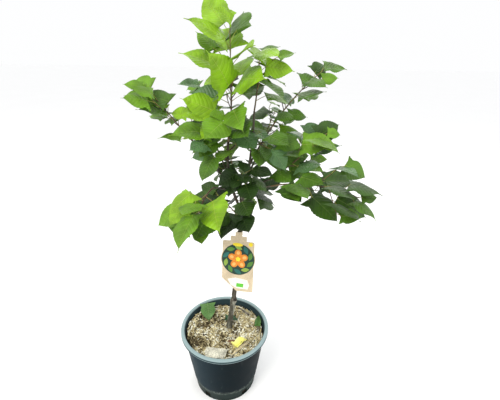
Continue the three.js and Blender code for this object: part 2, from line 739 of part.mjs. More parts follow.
// The band round the trunk, and the card hung against the band's front.
function buildLabel(trunkPath) {
  const top = LABEL.topHeight - BAND.belowTop;
  const share = (top - trunkPath[0].z) / (trunkPath[trunkPath.length - 1].z - trunkPath[0].z);
  const { point: axis } = along(trunkPath, share);
  const inner = trunkRadius(top - MULCH.top, LIMBS.trunk.length) + BAND.clear;
  const outer = inner + BAND.thickness;
  const ring = [
    [inner, top - BAND.height],
    [outer, top - BAND.height],
    [outer, top],
    [inner, top],
    [inner, top - BAND.height],
  ];
  const band = turned(ring, BAND.sides).translate(axis.x, axis.y, 0);
  place('label_band', band, COLOURS.card);

  const turn = radians(LABEL.turn);
  const front = new THREE.Vector3(Math.sin(turn), -Math.cos(turn), 0);
  const side = new THREE.Vector3(Math.cos(turn), Math.sin(turn), 0);
  const hook = axis.clone().addScaledVector(front, outer + GAP).addScaledVector(side, LABEL.sideShift);
  const card = new THREE.ExtrudeGeometry(labelShape(), {
    depth: LABEL.thickness,
    bevelEnabled: false,
    curveSegments: 8,
  });
  card.rotateX(Math.PI / 2 - radians(LABEL.swing)).rotateZ(turn);
  card.translate(hook.x, hook.y, LABEL.topHeight);
  const label = place('label_card', bare(card), COLOURS.card);
  return [piece(band.clone()), piece(label.geometry.clone())];
}

// Lets a geometry down until the first of its corners is just clear of the mulch.
function settle(geometry) {
  const spots = geometry.getAttribute('position');
  let lowest = Infinity;
  for (let i = 0; i < spots.count; i++) {
    const ground = mulchHeight(Math.hypot(spots.getX(i), spots.getY(i)));
    lowest = Math.min(lowest, spots.getZ(i) - ground);
  }
  return geometry.translate(0, 0, GAP - lowest);
}

// Leaves that lie on the mulch.
function buildFallen() {
  for (const [name, { x, y, azimuth, length, rise, fold, look }] of Object.entries(FALLEN)) {
    const out = heading(azimuth, 0);
    const run = heading(azimuth, rise);
    const across = run.clone().cross(UP).normalize();
    const foot = new THREE.Vector3(x, y, MULCH.top);
    const leaf = {
      node: foot.clone().addScaledVector(out, -FALLEN_SHAPE.stalk),
      foot,
      out,
      run,
      face: across.clone().cross(run),
      across,
      length,
      fold: radians(fold),
      curl: FALLEN_SHAPE.curl,
    };
    place(name, settle(leafGeometry(leaf)), COLOURS[look]);
  }
}

// A flat splinter of wood: a low slab with its upper edge drawn in.
function buildChip() {
  const slab = bare(new THREE.CylinderGeometry(CHIP.upper, 1, 1, CHIP.sides));
  slab.rotateX(Math.PI / 2);
  slab.scale(CHIP.length / 2, CHIP.width / 2, CHIP.height);
  slab.rotateZ(radians(CHIP.azimuth)).translate(CHIP.x, CHIP.y, 0);
  place('wood_chip', settle(slab), COLOURS.chip);
}

// The masses that aren't midLeaf.
const LOOKS = {
  leaves_top_left: 'brightLeaf',
  leaves_left_mid: 'brightLeaf',
  leaves_front_mid: 'brightLeaf',
  leaves_low_left: 'brightLeaf',
  leaves_front_low: 'darkLeaf',
  leaves_centre_low: 'darkLeaf',
  leaves_back_low_left: 'darkLeaf',
  leaves_back_low_right: 'darkLeaf',
};

// A mass's stem as one solid, cut clear of the limbs.
function stemSolid(stem, cutters) {
  const taper = (share) => lerp(...STEM.radii, share);
  const { solid, box } = piece(barGeometry(stem, taper, STEM.sides));
  let cut = solid;
  for (const cutter of cutters) {
    if (cutter.box.intersectsBox(box)) cut = cut.subtract(cutter.solid);
  }
  const swollen = piece(barGeometry(stem, (share) => taper(share) + GAP, STEM.sides));
  return { solid: largest(cut), swollen };
}

// One mass joined from its parts. A twig or leaf that would come too near one of the obstacles
// is left off with what grows on it, and so is a leaf that would cross another one of the mass.
function joinMass({ solid, leaves, twigs }, obstacles) {
  const free = (candidate) => !obstacles.some((other) => meets(candidate, other));
  const joined = [solid];
  const kept = [];
  const addLeaf = (leaf) => {
    const node = leaf.node.clone().lerp(leaf.foot, LEAF.rootShare);
    const upper = piece(leafGeometry({ ...leaf, node }));
    if (kept.some((other) => meets(upper, other)) || !free(piece(leafGeometry(leaf, GAP)))) return;
    kept.push(upper);
    joined.push(solidOf(leafGeometry(leaf)));
  };
  leaves.forEach(addLeaf);
  const taper = (share) => lerp(...TWIG.radii, share);
  for (const twig of twigs) {
    const swollen = piece(barGeometry(twig.path, (share) => taper(share) + GAP, TWIG.sides));
    if (free(swollen)) {
      joined.push(solidOf(barGeometry(twig.path, taper, TWIG.sides)));
      twig.leaves.forEach(addLeaf);
    }
  }
  return largest(wasm.Manifold.union(joined));
}

// Every mass, clear of the limbs and label, of all the stems and of the masses before it.
function buildMasses(paths, cutters, obstacles) {
  const grown = Object.entries(MASSES).map(([name, mass]) => {
    const parts = growMass(mass, paths[mass.on]);
    return { name, ...parts, ...stemSolid(parts.stem, cutters) };
  });
  const done = [];
  for (const mass of grown) {
    const stems = grown.filter((other) => other !== mass).map((other) => other.swollen);
    const solid = joinMass(mass, [...obstacles, ...stems, ...done]);
    const geometry = geometryOf(solid);
    place(mass.name, geometry, COLOURS[LOOKS[mass.name] ?? 'midLeaf']);
    geometry.computeBoundingBox();
    done.push({ solid, box: geometry.boundingBox });
  }
}

buildPot();
buildMulch();
const { paths, limbs, cutters } = buildLimbs();
const labelPieces = buildLabel(paths.trunk);
buildFallen();
buildChip();
buildMasses(paths, cutters, [...limbs, ...labelPieces]);

export default tree;
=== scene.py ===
"""Looks of a young dwarf apricot tree in a round nursery pot.

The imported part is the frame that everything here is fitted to. Each mass of foliage is grown
again by the rule of its solid, with whole leaves, stalks and twigs in place of the plain ones.
The trunk and boughs get bark, the pot its rolled rim and drain holes, the mulch its chips, and
the tag its print. The growth rule counts in millimetres, as its solid does, and the meshes are
made in metres.
"""

import logging
import math
from collections.abc import Callable, Sequence
from dataclasses import dataclass, field
from enum import Enum
from functools import cache

import bpy
import numpy as np
from mathutils import Matrix, Vector, noise
from mathutils.kdtree import KDTree


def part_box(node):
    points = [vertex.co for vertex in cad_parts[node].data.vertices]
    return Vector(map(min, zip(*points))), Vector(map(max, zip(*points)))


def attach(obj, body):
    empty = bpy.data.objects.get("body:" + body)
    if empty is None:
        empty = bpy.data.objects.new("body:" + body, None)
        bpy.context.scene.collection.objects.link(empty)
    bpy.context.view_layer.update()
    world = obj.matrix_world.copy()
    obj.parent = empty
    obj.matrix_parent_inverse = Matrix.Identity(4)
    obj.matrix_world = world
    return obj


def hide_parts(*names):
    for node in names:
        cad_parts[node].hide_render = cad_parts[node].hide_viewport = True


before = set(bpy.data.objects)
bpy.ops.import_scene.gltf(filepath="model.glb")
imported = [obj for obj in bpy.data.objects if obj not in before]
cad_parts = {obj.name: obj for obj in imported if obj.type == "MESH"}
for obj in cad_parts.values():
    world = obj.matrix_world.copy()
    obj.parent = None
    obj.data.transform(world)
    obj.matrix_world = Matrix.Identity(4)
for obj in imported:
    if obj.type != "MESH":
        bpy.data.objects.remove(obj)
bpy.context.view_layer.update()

LOG = logging.getLogger("apricot_tree")
MM = 0.001
UP = Vector((0.0, 0.0, 1.0))
LIGHT_SIDE = Vector((-0.05, -0.52, 0.85))
CROWN_AXIS = Vector((45.0, 15.0, 0.0))
CURL_SHORTENS = 0.25

Colour = tuple[float, float, float, float]
Outline = list[tuple[float, float]]
Faces = list[tuple[int, ...]]
Solid = tuple[np.ndarray, Faces]
Relief = Callable[[Vector, float, float], float]
Path = list[Vector]
Piece = bpy.types.Object
Material = bpy.types.Material
NodeTree = bpy.types.NodeTree
Socket = bpy.types.NodeSocket


class Draws:
    """Park-Miller draws, the same numbers from the same seed as in the solids' source."""

    START, STRIDE, WARM_UP = 1000, 7919, 3
    MULTIPLIER, MODULUS = 16807, 2147483647

    def __init__(self, seed: int) -> None:
        """Starts a run of draws.

        Args:
            seed: The number that the run starts from.
        """
        self.state = self.START + seed * self.STRIDE
        for _ in range(self.WARM_UP):
            self.share()

    def share(self) -> float:
        """Returns the next draw, from 0 to 1."""
        self.state = self.state * self.MULTIPLIER % self.MODULUS
        return self.state / self.MODULUS

    def spread(self, half: float) -> float:
        """Returns the next draw, spread evenly from -half to half."""
        return (self.share() * 2 - 1) * half


def lerp(a: float, b: float, share: float) -> float:
    """Returns the value at a share of the way from a to b."""
    return a + (b - a) * share


def heading(azimuth: float, rise: float) -> Vector:
    """Returns the unit vector of an azimuth and a rise, both in degrees."""
    a, r = math.radians(azimuth), math.radians(rise)
    return Vector((math.cos(a) * math.cos(r), math.sin(a) * math.cos(r), math.sin(r)))


def bent_path(start: Vector, azimuth: float, rise: float, length: float, bend: float, steps: int) -> Path:
    """Lays a path in equal steps, its rise changing evenly by bend.

    Args:
        start: The path's first point.
        azimuth: Its direction seen from above, in degrees.
        rise: Its angle from the level at the start, in degrees.
        length: Its length in millimetres.
        bend: What is added to its rise on the way, in degrees.
        steps: How many equal steps it has.

    Returns:
        The path's points, one more than its steps.
    """
    path = [start.copy()]
    for i in range(steps):
        path.append(path[-1] + heading(azimuth, rise + bend * (i + 0.5) / steps) * (length / steps))
    return path


def along(path: Path, share: float) -> tuple[Vector, Vector]:
    """Finds a place on a path of equal steps.

    Args:
        path: The path's points.
        share: The place's share of the path.

    Returns:
        The point, and the unit direction there.
    """
    steps = len(path) - 1
    k = min(steps - 1, int(share * steps))
    step = path[k + 1] - path[k]
    return path[k] + step * (share * steps - k), step.normalized()


def side_of(direction: Vector, turn: float) -> Vector:
    """Finds a direction square to another.

    Args:
        direction: The other direction.
        turn: The turn about it in degrees.

    Returns:
        The unit vector.
    """
    first = direction.cross(UP).normalized() if abs(direction.z) < 0.985 else Vector((1.0, 0.0, 0.0))
    a = math.radians(turn)
    return first * math.cos(a) + direction.cross(first) * math.sin(a)


@dataclass
class Leaf:
    """Where one leaf's stalk starts and its blade begins, and how the blade lies.

    The body and tip numbers give the outline of every blade, in shares of its length.
    """

    BODY_WIDTH, BODY_END, BODY_SKEW, BODY_ROUND = 0.375, 0.9, 0.72, 0.85
    TIP_WIDTH, TIP_TAPER = 0.42, 1.5

    node: Vector
    foot: Vector
    out: Vector
    run: Vector
    face: Vector
    across: Vector
    length: float
    fold: float
    curl: float

    def half_width(self, share: float) -> float:
        """Returns half the blade's width at a share of its length, as a share of its length."""
        body = math.sin(math.pi * min(share / self.BODY_END, 1) ** self.BODY_SKEW) ** self.BODY_ROUND
        return max(self.BODY_WIDTH * body, self.TIP_WIDTH * (1 - share) ** self.TIP_TAPER)

    def solid_point(self, share: float, side: float) -> Vector:
        """Finds a point of the plain solid's blade.

        Args:
            share: The point's share of the midrib.
            side: Its place across the blade, from -1 to 1.

        Returns:
            The point.
        """
        width = self.half_width(share) * self.length * side
        point = self.foot + self.run * (self.length * share * (1 - CURL_SHORTENS * self.curl * share))
        point += self.face * (abs(width) * math.sin(self.fold) - self.curl * self.length * share * share)
        return point + self.across * (width * math.cos(self.fold))


@dataclass
class Shoot:
    """A stem or side twig with the leaves that stand on it."""

    path: Path
    leaves: list[Leaf]


@dataclass(frozen=True)
class Habit:
    """How leaves stand on a stem or twig, the same for the whole tree.

    Pairs are the values at a stem's foot and at its end, angles are in degrees, and a spread is
    the most that a draw adds or takes away.
    """

    turn: float = 137.5
    turn_spread: float = 20
    last_node: float = 0.98
    inset: float = 0.4
    opening: tuple[float, float] = (70, 40)
    opening_spread: float = 12
    lift: float = 0.15
    smallest: float = 0.74
    fullest: float = 1.2
    last_size: float = 0.75
    size_spread: float = 0.14
    stalk: tuple[float, float] = (0.44, 0.3)
    ahead: float = 0.3
    outward: float = 0.8
    drift: float = 0.15
    fall: tuple[float, float] = (6, -12)
    fall_spread: float = 20
    face_outward: float = 0.42
    roll_spread: float = 26
    fold: tuple[float, float] = (4, 26)
    curl: tuple[float, float] = (0.04, 0.26)
    stem_steps: int = 8
    twig_steps: int = 3
    twig_span: tuple[float, float] = (0.1, 0.75)
    twig_ahead: float = 0.6
    twig_aside: float = 0.8
    twig_spread: float = 0.2
    twig_bend: float = 15
    twig_scale: float = 0.88
    first_on_twig: float = 0.45

    def leaf(
        self, draws: Draws, at: tuple[Vector, Vector], turn: float, share: float, size: float, droop: float
    ) -> Leaf:
        """Grows one leaf.

        Args:
            draws: The mass's run of draws.
            at: The point and direction of the stem or twig where the stalk leaves it.
            turn: The stalk's turn about the stem in degrees.
            share: The leaf's place along the stem, from 0 to 1.
            size: The blade's length before its own spread, in millimetres.
            droop: The blade's fall below the level in degrees.

        Returns:
            The leaf.
        """
        point, direction = at
        side = side_of(direction, turn)
        opening = math.radians(lerp(*self.opening, share) + draws.spread(self.opening_spread))
        out = (direction * math.cos(opening) + side * math.sin(opening) + UP * self.lift).normalized()
        fullness = lerp(self.smallest, 1, math.sin(math.pi * share**self.fullest))
        length = size * fullness * (1 + draws.spread(self.size_spread))
        foot = point + out * (length * lerp(*self.stalk, share))
        outward = Vector((foot.x - CROWN_AXIS.x, foot.y - CROWN_AXIS.y, 0)).normalized()
        flat = out + direction * self.ahead + outward * self.outward
        flat.x += draws.spread(self.drift)
        flat.y += draws.spread(self.drift)
        flat.z = 0
        flat.normalize()
        fall = math.radians(droop + draws.spread(self.fall_spread) + lerp(*self.fall, share))
        run = flat * math.cos(fall) - UP * math.sin(fall)
        face = (LIGHT_SIDE + outward * self.face_outward).normalized()
        face = (face - run * face.dot(run)).normalized()
        roll = math.radians(draws.spread(self.roll_spread))
        face = face * math.cos(roll) + run.cross(face) * math.sin(roll)
        fold = math.radians(lerp(*self.fold, draws.share()))
        curl = lerp(*self.curl, draws.share())
        return Leaf(point, foot, out, run, face, run.cross(face), length, fold, curl)

    def leaves(
        self,
        draws: Draws,
        path: Path,
        shares: Sequence[float],
        sizes: Sequence[float],
        droop: float,
    ) -> list[Leaf]:
        """Grows the leaves of a stem or twig.

        Args:
            draws: The mass's run of draws.
            path: The stem's or twig's points.
            shares: The leaves' places along it, from 0 to 1.
            sizes: The blades' lengths before their own spread, in millimetres.
            droop: The blades' fall below the level in degrees.

        Returns:
            The leaves, from its foot to its end.
        """
        first = draws.share() * 360
        grown = []
        for i, (share, size) in enumerate(zip(shares, sizes)):
            at = along(path, min(share, self.last_node))
            turn = first + self.turn * i + draws.spread(self.turn_spread)
            grown.append(self.leaf(draws, at, turn, share, size, droop))
        return grown


class Tone(Enum):
    """The kinds of leaf colour that are dealt out leaf by leaf.

    They run from painted sunlight to painted shade: the sunlit and shaded tones are painted light
    and shade, and the fresh, mid and deep greens between them are partly the leaves' own greens
    and partly painted light and shade. The blue-green tone is a painted reflection of the sky.
    """

    SUNLIT = "sunlit"
    FRESH = "fresh"
    MID = "mid"
    DEEP = "deep"
    SHADED = "shaded"
    BLUISH = "bluish"


@dataclass(frozen=True)
class Mass:
    """One mass of foliage: the limb and share that its stem grows from, its habit and its tones.

    Angles are in degrees and lengths in millimetres, as in the solids' source.
    """

    name: str
    on: str
    share: float
    azimuth: float
    rise: float
    length: float
    bend: float
    lift: float
    twigs: int
    twig: float
    first: float
    leaves: int
    per_twig: int
    leaf: float
    droop: float
    seed: int
    tones: tuple[Tone, ...]

    def grow(self, limb: Path, habit: Habit) -> tuple[Shoot, list[Shoot]]:
        """Grows the mass from its limb.

        Args:
            limb: The path of the limb that it grows from.
            habit: How its leaves stand.

        Returns:
            Its stem, and its side twigs.
        """
        draws = Draws(self.seed)
        run = (self.azimuth, self.rise, self.length, self.bend, habit.stem_steps)
        stem = bent_path(along(limb, self.share)[0], *run)
        last = self.leaves - 1
        shares = [lerp(self.first, 1, (i + habit.inset) / (last + habit.inset)) for i in range(last)] + [1.0]
        sizes = [self.leaf] * last + [self.leaf * habit.last_size]
        leaves = habit.leaves(draws, stem, shares, sizes, self.droop)
        spin = draws.share() * 360
        twigs = [self._twig(draws, habit, stem, spin, k) for k in range(self.twigs)]
        return Shoot(stem, leaves), twigs

    def _twig(self, draws: Draws, habit: Habit, stem: Path, spin: float, k: int) -> Shoot:
        """Grows one side twig.

        Args:
            draws: The mass's run of draws.
            habit: How its leaves stand.
            stem: The stem's points.
            spin: The turn about the stem of the first twig, in degrees.
            k: The twig's number.

        Returns:
            The twig with its leaves.
        """
        point, direction = along(stem, lerp(*habit.twig_span, (k + 0.5) / self.twigs))
        side = side_of(direction, spin + habit.turn * k + draws.spread(habit.turn_spread))
        go = (direction * habit.twig_ahead + side * habit.twig_aside + UP * self.lift).normalized()
        azimuth, rise = math.degrees(math.atan2(go.y, go.x)), math.degrees(math.asin(go.z))
        length = self.twig * (1 + draws.spread(habit.twig_spread))
        bend = habit.twig_bend + draws.spread(habit.twig_bend)
        path = bent_path(point, azimuth, rise, length, bend, habit.twig_steps)
        shares = [lerp(habit.first_on_twig, 1, i / (self.per_twig - 1)) for i in range(self.per_twig)]
        sizes = [self.leaf * habit.twig_scale] * self.per_twig
        return Shoot(path, habit.leaves(draws, path, shares, sizes, self.droop))


@dataclass(frozen=True)
class Limb:
    """One limb: where it starts, how it runs, its radii at its foot and its end, and its collar."""

    name: str
    on: str | None
    share: float
    azimuth: float
    rise: float
    length: float
    bend: float
    steps: int = 4
    radii: tuple[float, float] = (2.7, 2.1)
    collar: float = 0.4
    collar_length: float = 6

    def radius(self, share: float) -> float:
        """Returns its radius at a share of its length, with the collar that it springs from."""
        collar = self.collar * math.exp(-share * self.length / self.collar_length)
        return lerp(*self.radii, share) * (1 + collar)


LIMBS = (
    Limb("trunk", None, 0, 0, 81.5, 453, 7, 24, (8.4, 5.2)),
    Limb("leader_left", "trunk", 0.97, 195, 64, 250, 40, 9, (4.2, 2.9)),
    Limb("leader_right", "trunk", 1, 0, 77, 260, 12, 9, (4.4, 2.6)),
    Limb("bough_left", "leader_left", 0.32, 180, 49, 110, 2),
    Limb("bough_low_left", "leader_left", 0.24, 236, 30, 90, -10),
    Limb("bough_right_up", "leader_right", 0.46, 17, 63, 110, -8),
    Limb("bough_right", "leader_right", 0.2, 0, 22, 75, 0),
    Limb("bough_low_right", "leader_right", 0.14, 332, 30, 90, -10),
    Limb("bough_back_left", "leader_left", 0.42, 125, 42, 90, 5),
    Limb("bough_back_right", "leader_right", 0.34, 62, 38, 100, 5),
    Limb("bough_back", "trunk", 0.95, 95, 36, 90, 12),
    Limb("bough_front", "trunk", 0.95, 268, 40, 45, -10),
)
TRUNK = LIMBS[0]

# Sets of tones for the masses. The top masses and those on the key lamp's side get the lighter sets, the low,
# inner and back ones the darker sets: painted light and painted shade laid over the leaves by where they
# hang.
SUNLIT_MIX = (Tone.SUNLIT, Tone.SUNLIT, Tone.SUNLIT, Tone.FRESH, Tone.MID)
MOSTLY_LIT_MIX = (Tone.SUNLIT, Tone.FRESH, Tone.FRESH, Tone.MID)
MIXED = (Tone.FRESH, Tone.MID, Tone.MID, Tone.DEEP, Tone.BLUISH)
HALF_SHADED_MIX = (Tone.MID, Tone.DEEP, Tone.DEEP, Tone.BLUISH)
SHADED_MIX = (Tone.DEEP, Tone.SHADED, Tone.SHADED)

MASSES = (
    Mass(
        "leaves_top_left", "leader_left", 1, 300, 91, 217, 0, 0.1, 2, 40, 0.12, 11, 2, 104, -25, 1416, SUNLIT_MIX
    ),
    Mass("leaves_left_mid", "leader_left", 0.9, 200, 35, 75, -10, 0.1, 0, 0, 0.2, 7, 0, 86, 0, 256, SUNLIT_MIX),
    Mass("leaves_front_mid", "leader_left", 0.8, 275, 55, 75, 10, 0.1, 0, 0, 0.2, 7, 0, 92, 10, 337, MOSTLY_LIT_MIX),
    Mass(
        "leaves_left_inner", "leader_left", 0.6, 225, 40, 95, -10, 0.1, 1, 45, 0.2, 7, 3, 66, 20, 872, MIXED
    ),
    Mass("leaves_back_high", "leader_left", 0.95, 85, 65, 105, 10, 0.1, 1, 45, 0.2, 7, 3, 78, 5, 1195, MIXED),
    Mass("leaves_back_mid", "leader_left", 0.7, 50, 20, 80, 10, 0.1, 1, 45, 0.2, 7, 3, 74, 35, 592, HALF_SHADED_MIX),
    Mass("leaves_left", "bough_left", 1, 175, 50, 215, 0, 0.1, 3, 55, 0.05, 11, 3, 74, 0, 612, MOSTLY_LIT_MIX),
    Mass(
        "leaves_low_left", "bough_low_left", 1, 250, 5, 115, -70, -0.3, 3, 60, 0.1, 8, 2, 94, 25, 1729, MOSTLY_LIT_MIX
    ),
    Mass("leaves_top_right", "leader_right", 1, 40, 79, 130, 10, 0.1, 2, 50, 0.15, 9, 3, 84, 10, 325, MOSTLY_LIT_MIX),
    Mass(
        "leaves_centre_front", "leader_right", 0.66, 325, 20, 75, 10, 0.1, 1, 40, 0.2, 7, 3, 72, 35, 968,
        MIXED,
    ),
    Mass("leaves_centre_low", "leader_right", 0.3, 255, 25, 55, -10, 0, 1, 40, 0.2, 6, 3, 72, 15, 288, SHADED_MIX),
    Mass(
        "leaves_right_up", "bough_right_up", 1, 27, 53, 220, -22, 0.1, 2, 45, 0.05, 10, 2, 72, 0, 123, MIXED
    ),
    Mass("leaves_right", "bough_right", 1, 345, 40, 185, 10, 0.1, 4, 60, 0.05, 10, 3, 78, 0, 204, MIXED),
    Mass(
        "leaves_low_right", "bough_low_right", 1, 335, 20, 225, -35, -0.3, 4, 65, 0.1, 10, 3, 84, 15, 206, HALF_SHADED_MIX
    ),
    Mass(
        "leaves_back_left", "bough_back_left", 1, 135, 65, 175, 0, 0.1, 3, 55, 0.05, 9, 3, 74, 25, 1367, MIXED
    ),
    Mass(
        "leaves_back_right", "bough_back_right", 1, 70, 32, 150, 0, 0.1, 3, 55, 0.05, 9, 3, 74, 15, 687, MIXED
    ),
    Mass("leaves_back", "bough_back", 1, 113, 35, 115, -10, 0, 3, 60, 0.05, 9, 3, 78, 30, 4, HALF_SHADED_MIX),
    Mass("leaves_front_low", "bough_front", 1, 255, 30, 45, -40, -0.2, 1, 40, 0.1, 7, 3, 80, 15, 290, SHADED_MIX),
    Mass("leaves_back_low_left", "trunk", 0.9, 150, 45, 105, -20, 0, 1, 50, 0.3, 7, 3, 76, 5, 3, SHADED_MIX),
    Mass("leaves_back_low_right", "trunk", 0.92, 60, 30, 105, -15, 0, 2, 50, 0.3, 7, 3, 76, 25, 1430, SHADED_MIX),
)


def rgb(red: int, green: int, blue: int) -> Colour:
    """Converts a colour as it shows on a screen to a linear one.

    Args:
        red: Its red part, from 0 to 255.
        green: Its green part, from 0 to 255.
        blue: Its blue part, from 0 to 255.

    Returns:
        The linear colour.
    """
    parts = [c / 255 for c in (red, green, blue)]
    line = [c / 12.92 if c <= 0.04045 else ((c + 0.055) / 1.055) ** 2.4 for c in parts]
    return (*line, 1.0)


def scaled(colour: Colour, by: float) -> Colour:
    """Returns a linear colour made darker or paler by a factor."""
    return (*(min(c * by, 1.0) for c in colour[:3]), 1.0)


class Recipe:
    """A node tree being laid out, with one short method for each kind of step.

    A value given to a step is a plain one, or the socket that it comes from.
    """

    def __init__(self, tree: NodeTree) -> None:
        """Takes the tree that the steps are added to."""
        self.tree = tree

    def feed(self, socket: Socket, value: object) -> None:
        """Links a socket, or sets a plain value on it.

        Args:
            socket: The input socket.
            value: The value, or None to leave the socket as it is.
        """
        if isinstance(value, Socket):
            self.tree.links.new(value, socket)
        elif value is not None:
            socket.default_value = value

    def step(self, kind: str, inputs: dict, output: str | int = 0, **settings: object) -> Socket:
        """Adds one node.

        Args:
            kind: The node's type name.
            inputs: Values for its inputs, by name or number.
            output: The output that is wanted.
            settings: The node's own settings.

        Returns:
            The wanted output socket.
        """
        node = self.tree.nodes.new(kind)
        for name, value in settings.items():
            setattr(node, name, value)
        for name, value in inputs.items():
            self.feed(node.inputs[name], value)
        return node.outputs[output]

    def math(self, operation: str, a: object, b: object = None, c: object = None) -> Socket:
        """Returns the result of a Math node."""
        return self.step("ShaderNodeMath", {0: a, 1: b, 2: c}, operation=operation)

    def times(self, a: object, b: object) -> Socket:
        """Returns the product of two values."""
        return self.math("MULTIPLY", a, b)

    def minus(self, a: object, b: object) -> Socket:
        """Returns the difference of two values."""
        return self.math("SUBTRACT", a, b)

    def mix(self, factor: object, a: object, b: object) -> Socket:
        """Returns a blend of two colours."""
        return self.step("ShaderNodeMix", {0: factor, 6: a, 7: b}, 2, data_type="RGBA")

    def lay(self, under: object, over: object, mask: object, share: float) -> Socket:
        """Returns a colour with another laid over it through a mask, at a share of its strength."""
        return self.mix(self.times(mask, share), under, over)

    def window(self, value: object, low: object, high: object, to: tuple[float, float] = (0, 1)) -> Socket:
        """Returns a value carried smoothly from low..high to the range to, and held beyond."""
        inputs = {"Value": value, "From Min": low, "From Max": high, "To Min": to[0], "To Max": to[1]}
        return self.step("ShaderNodeMapRange", inputs, interpolation_type="SMOOTHSTEP")

    def own_space(self) -> Socket:
        """Returns the place in the object's own space."""
        return self.step("ShaderNodeTexCoord", {}, "Object")

    def axis(self, name: str) -> Socket:
        """Returns one axis of the object's own space: X, Y or Z."""
        return self.step("ShaderNodeSeparateXYZ", {"Vector": self.own_space()}, name)

    def spots(self, scale: object, detail: object = 3, rough: object = 0.5, stretch: object = None) -> Socket:
        """Adds a noise in the object's own space.

        Args:
            scale: How many spots there are to a metre.
            detail: How many finer layers it has.
            rough: How strong those layers are.
            stretch: Factors on the scale along the axes, or None for the same along all.

        Returns:
            The noise's value.
        """
        place = self.own_space()
        if stretch is not None:
            place = self.step("ShaderNodeMapping", {"Vector": place, "Scale": stretch})
        inputs = {"Vector": place, "Scale": scale, "Detail": detail, "Roughness": rough}
        return self.step("ShaderNodeTexNoise", inputs, "Fac")

    def bump(self, height: object, strength: float, distance: float) -> Socket:
        """Returns a normal bent by a height in metres of distance."""
        return self.step("ShaderNodeBump", {"Height": height, "Strength": strength, "Distance": distance})

    def effect(self, group: NodeTree, **values: float) -> dict[str, Socket]:
        """Places a shared effect.

        Args:
            group: The effect's node group.
            values: Plain values for its inputs.

        Returns:
            Its outputs by name.
        """
        node = self.tree.nodes.new("ShaderNodeGroup")
        node.node_tree = group
        for key, value in values.items():
            node.inputs[key].default_value = value
        return {socket.name: socket for socket in node.outputs}

    def put_out(self, **outputs: Socket) -> NodeTree:
        """Ends the layout of a shared effect.

        Args:
            outputs: The sockets that feed its outputs, by the outputs' names.

        Returns:
            The effect's node group.
        """
        for key in outputs:
            self.tree.interface.new_socket(key, in_out="OUTPUT", socket_type="NodeSocketFloat")
        sink = self.tree.nodes.new("NodeGroupOutput")
        for key, socket in outputs.items():
            self.tree.links.new(socket, sink.inputs[key])
        return self.tree

    def shade(self, name: str, colour: object, roughness: object, normal: object, **plain: float) -> None:
        """Puts the Principled shader at the end of a material's tree.

        Args:
            name: The shader node's name.
            colour: Its base colour.
            roughness: Its roughness.
            normal: Its normal, or None.
            plain: Plain values for other sockets, with underscores for spaces.
        """
        shader = self.tree.nodes.new("ShaderNodeBsdfPrincipled")
        shader.name = name
        for key, value in (("Base Color", colour), ("Roughness", roughness), ("Normal", normal)):
            self.feed(shader.inputs[key], value)
        for key, value in plain.items():
            shader.inputs[key.replace("_", " ")].default_value = value
        out = self.tree.nodes.new("ShaderNodeOutputMaterial")
        self.tree.links.new(shader.outputs[0], out.inputs[0])


def start_effect(name: str, **inputs: float) -> tuple[Recipe, dict[str, Socket]]:
    """Starts a shader node group that several materials share.

    Args:
        name: The group's name.
        inputs: Its value inputs with their defaults.

    Returns:
        Its recipe, and its input sockets by name.
    """
    tree = bpy.data.node_groups.new(name, "ShaderNodeTree")
    for key, default in inputs.items():
        socket = tree.interface.new_socket(key, in_out="INPUT", socket_type="NodeSocketFloat")
        socket.default_value = default
    source = tree.nodes.new("NodeGroupInput")
    return Recipe(tree), {key: source.outputs[key] for key in inputs}


@cache
def blade_marks() -> NodeTree:
    """Builds the veins of a blade, read from its UV map, and its clouds of colour and gloss.

    The map runs across the blade from the midrib at 0.5, and along it from 0 to 1, in blade lengths.

    Returns:
        A group that puts out the midrib, the side veins, the net between them, their relief, and
        the clouds of colour and gloss.
    """
    recipe, given = start_effect("blade_marks", Spacing=0.13, Rise=1.05, Cells=34.0, Clouds=26.0, Sheen=90.0)
    place = recipe.step("ShaderNodeUVMap", {}, uv_map="blade")
    across, length = (recipe.step("ShaderNodeSeparateXYZ", {"Vector": place}, axis) for axis in "XY")
    reach = recipe.math("ABSOLUTE", recipe.minus(across, 0.5))
    rib_width = recipe.window(length, 0, 1, (0.016, 0.005))
    midrib = recipe.window(recipe.math("DIVIDE", reach, rib_width), 1.0, 0.3)
    arch = recipe.times(recipe.math("POWER", reach, 1.35), given["Rise"])
    phase = recipe.math("DIVIDE", recipe.minus(length, arch), given["Spacing"])
    distance = recipe.math("PINGPONG", phase, 0.5)
    veins = recipe.times(recipe.window(distance, 0.075, 0.0), recipe.window(reach, 0.36, 0.1))
    inputs = {"Vector": place, "Scale": given["Cells"]}
    cells = recipe.step("ShaderNodeTexVoronoi", inputs, "Distance", feature="DISTANCE_TO_EDGE")
    net = recipe.window(cells, 0.09, 0.0)
    pillow = recipe.times(recipe.window(distance, 0.0, 0.35), 0.6)
    raised = recipe.minus(pillow, recipe.times(midrib, 0.9))
    return recipe.put_out(
        Midrib=midrib,
        Veins=veins,
        Net=net,
        Relief=recipe.minus(raised, recipe.times(net, 0.08)),
        Cloud=recipe.window(recipe.spots(given["Clouds"], 2), 0.3, 0.7),
        Gloss=recipe.window(recipe.spots(given["Sheen"], 2), 0.3, 0.7),
    )


@cache
def bark_marks() -> NodeTree:
    """Builds the marks of bark: upright furrows, broad stains, and lenticels that lie across.

    Returns:
        A group that puts out the masks of the ground, the stains and the lenticels, and their relief.
    """
    recipe, given = start_effect("bark_marks", Furrows=70.0, Stains=16.0, Lenticels=150.0)
    furrows = recipe.spots(given["Furrows"], 4, 0.6, Vector((1.0, 1.0, 0.16)))
    dots = recipe.spots(given["Lenticels"], 2, 0.4, Vector((0.45, 0.45, 1.4)))
    return recipe.put_out(
        Ground=recipe.window(furrows, 0.42, 0.6),
        Stained=recipe.window(recipe.spots(given["Stains"], 3), 0.4, 0.65),
        Dotted=recipe.window(dots, 0.64, 0.72),
        Relief=recipe.math("ADD", furrows, recipe.times(recipe.window(dots, 0.62, 0.72), 0.8)),
    )


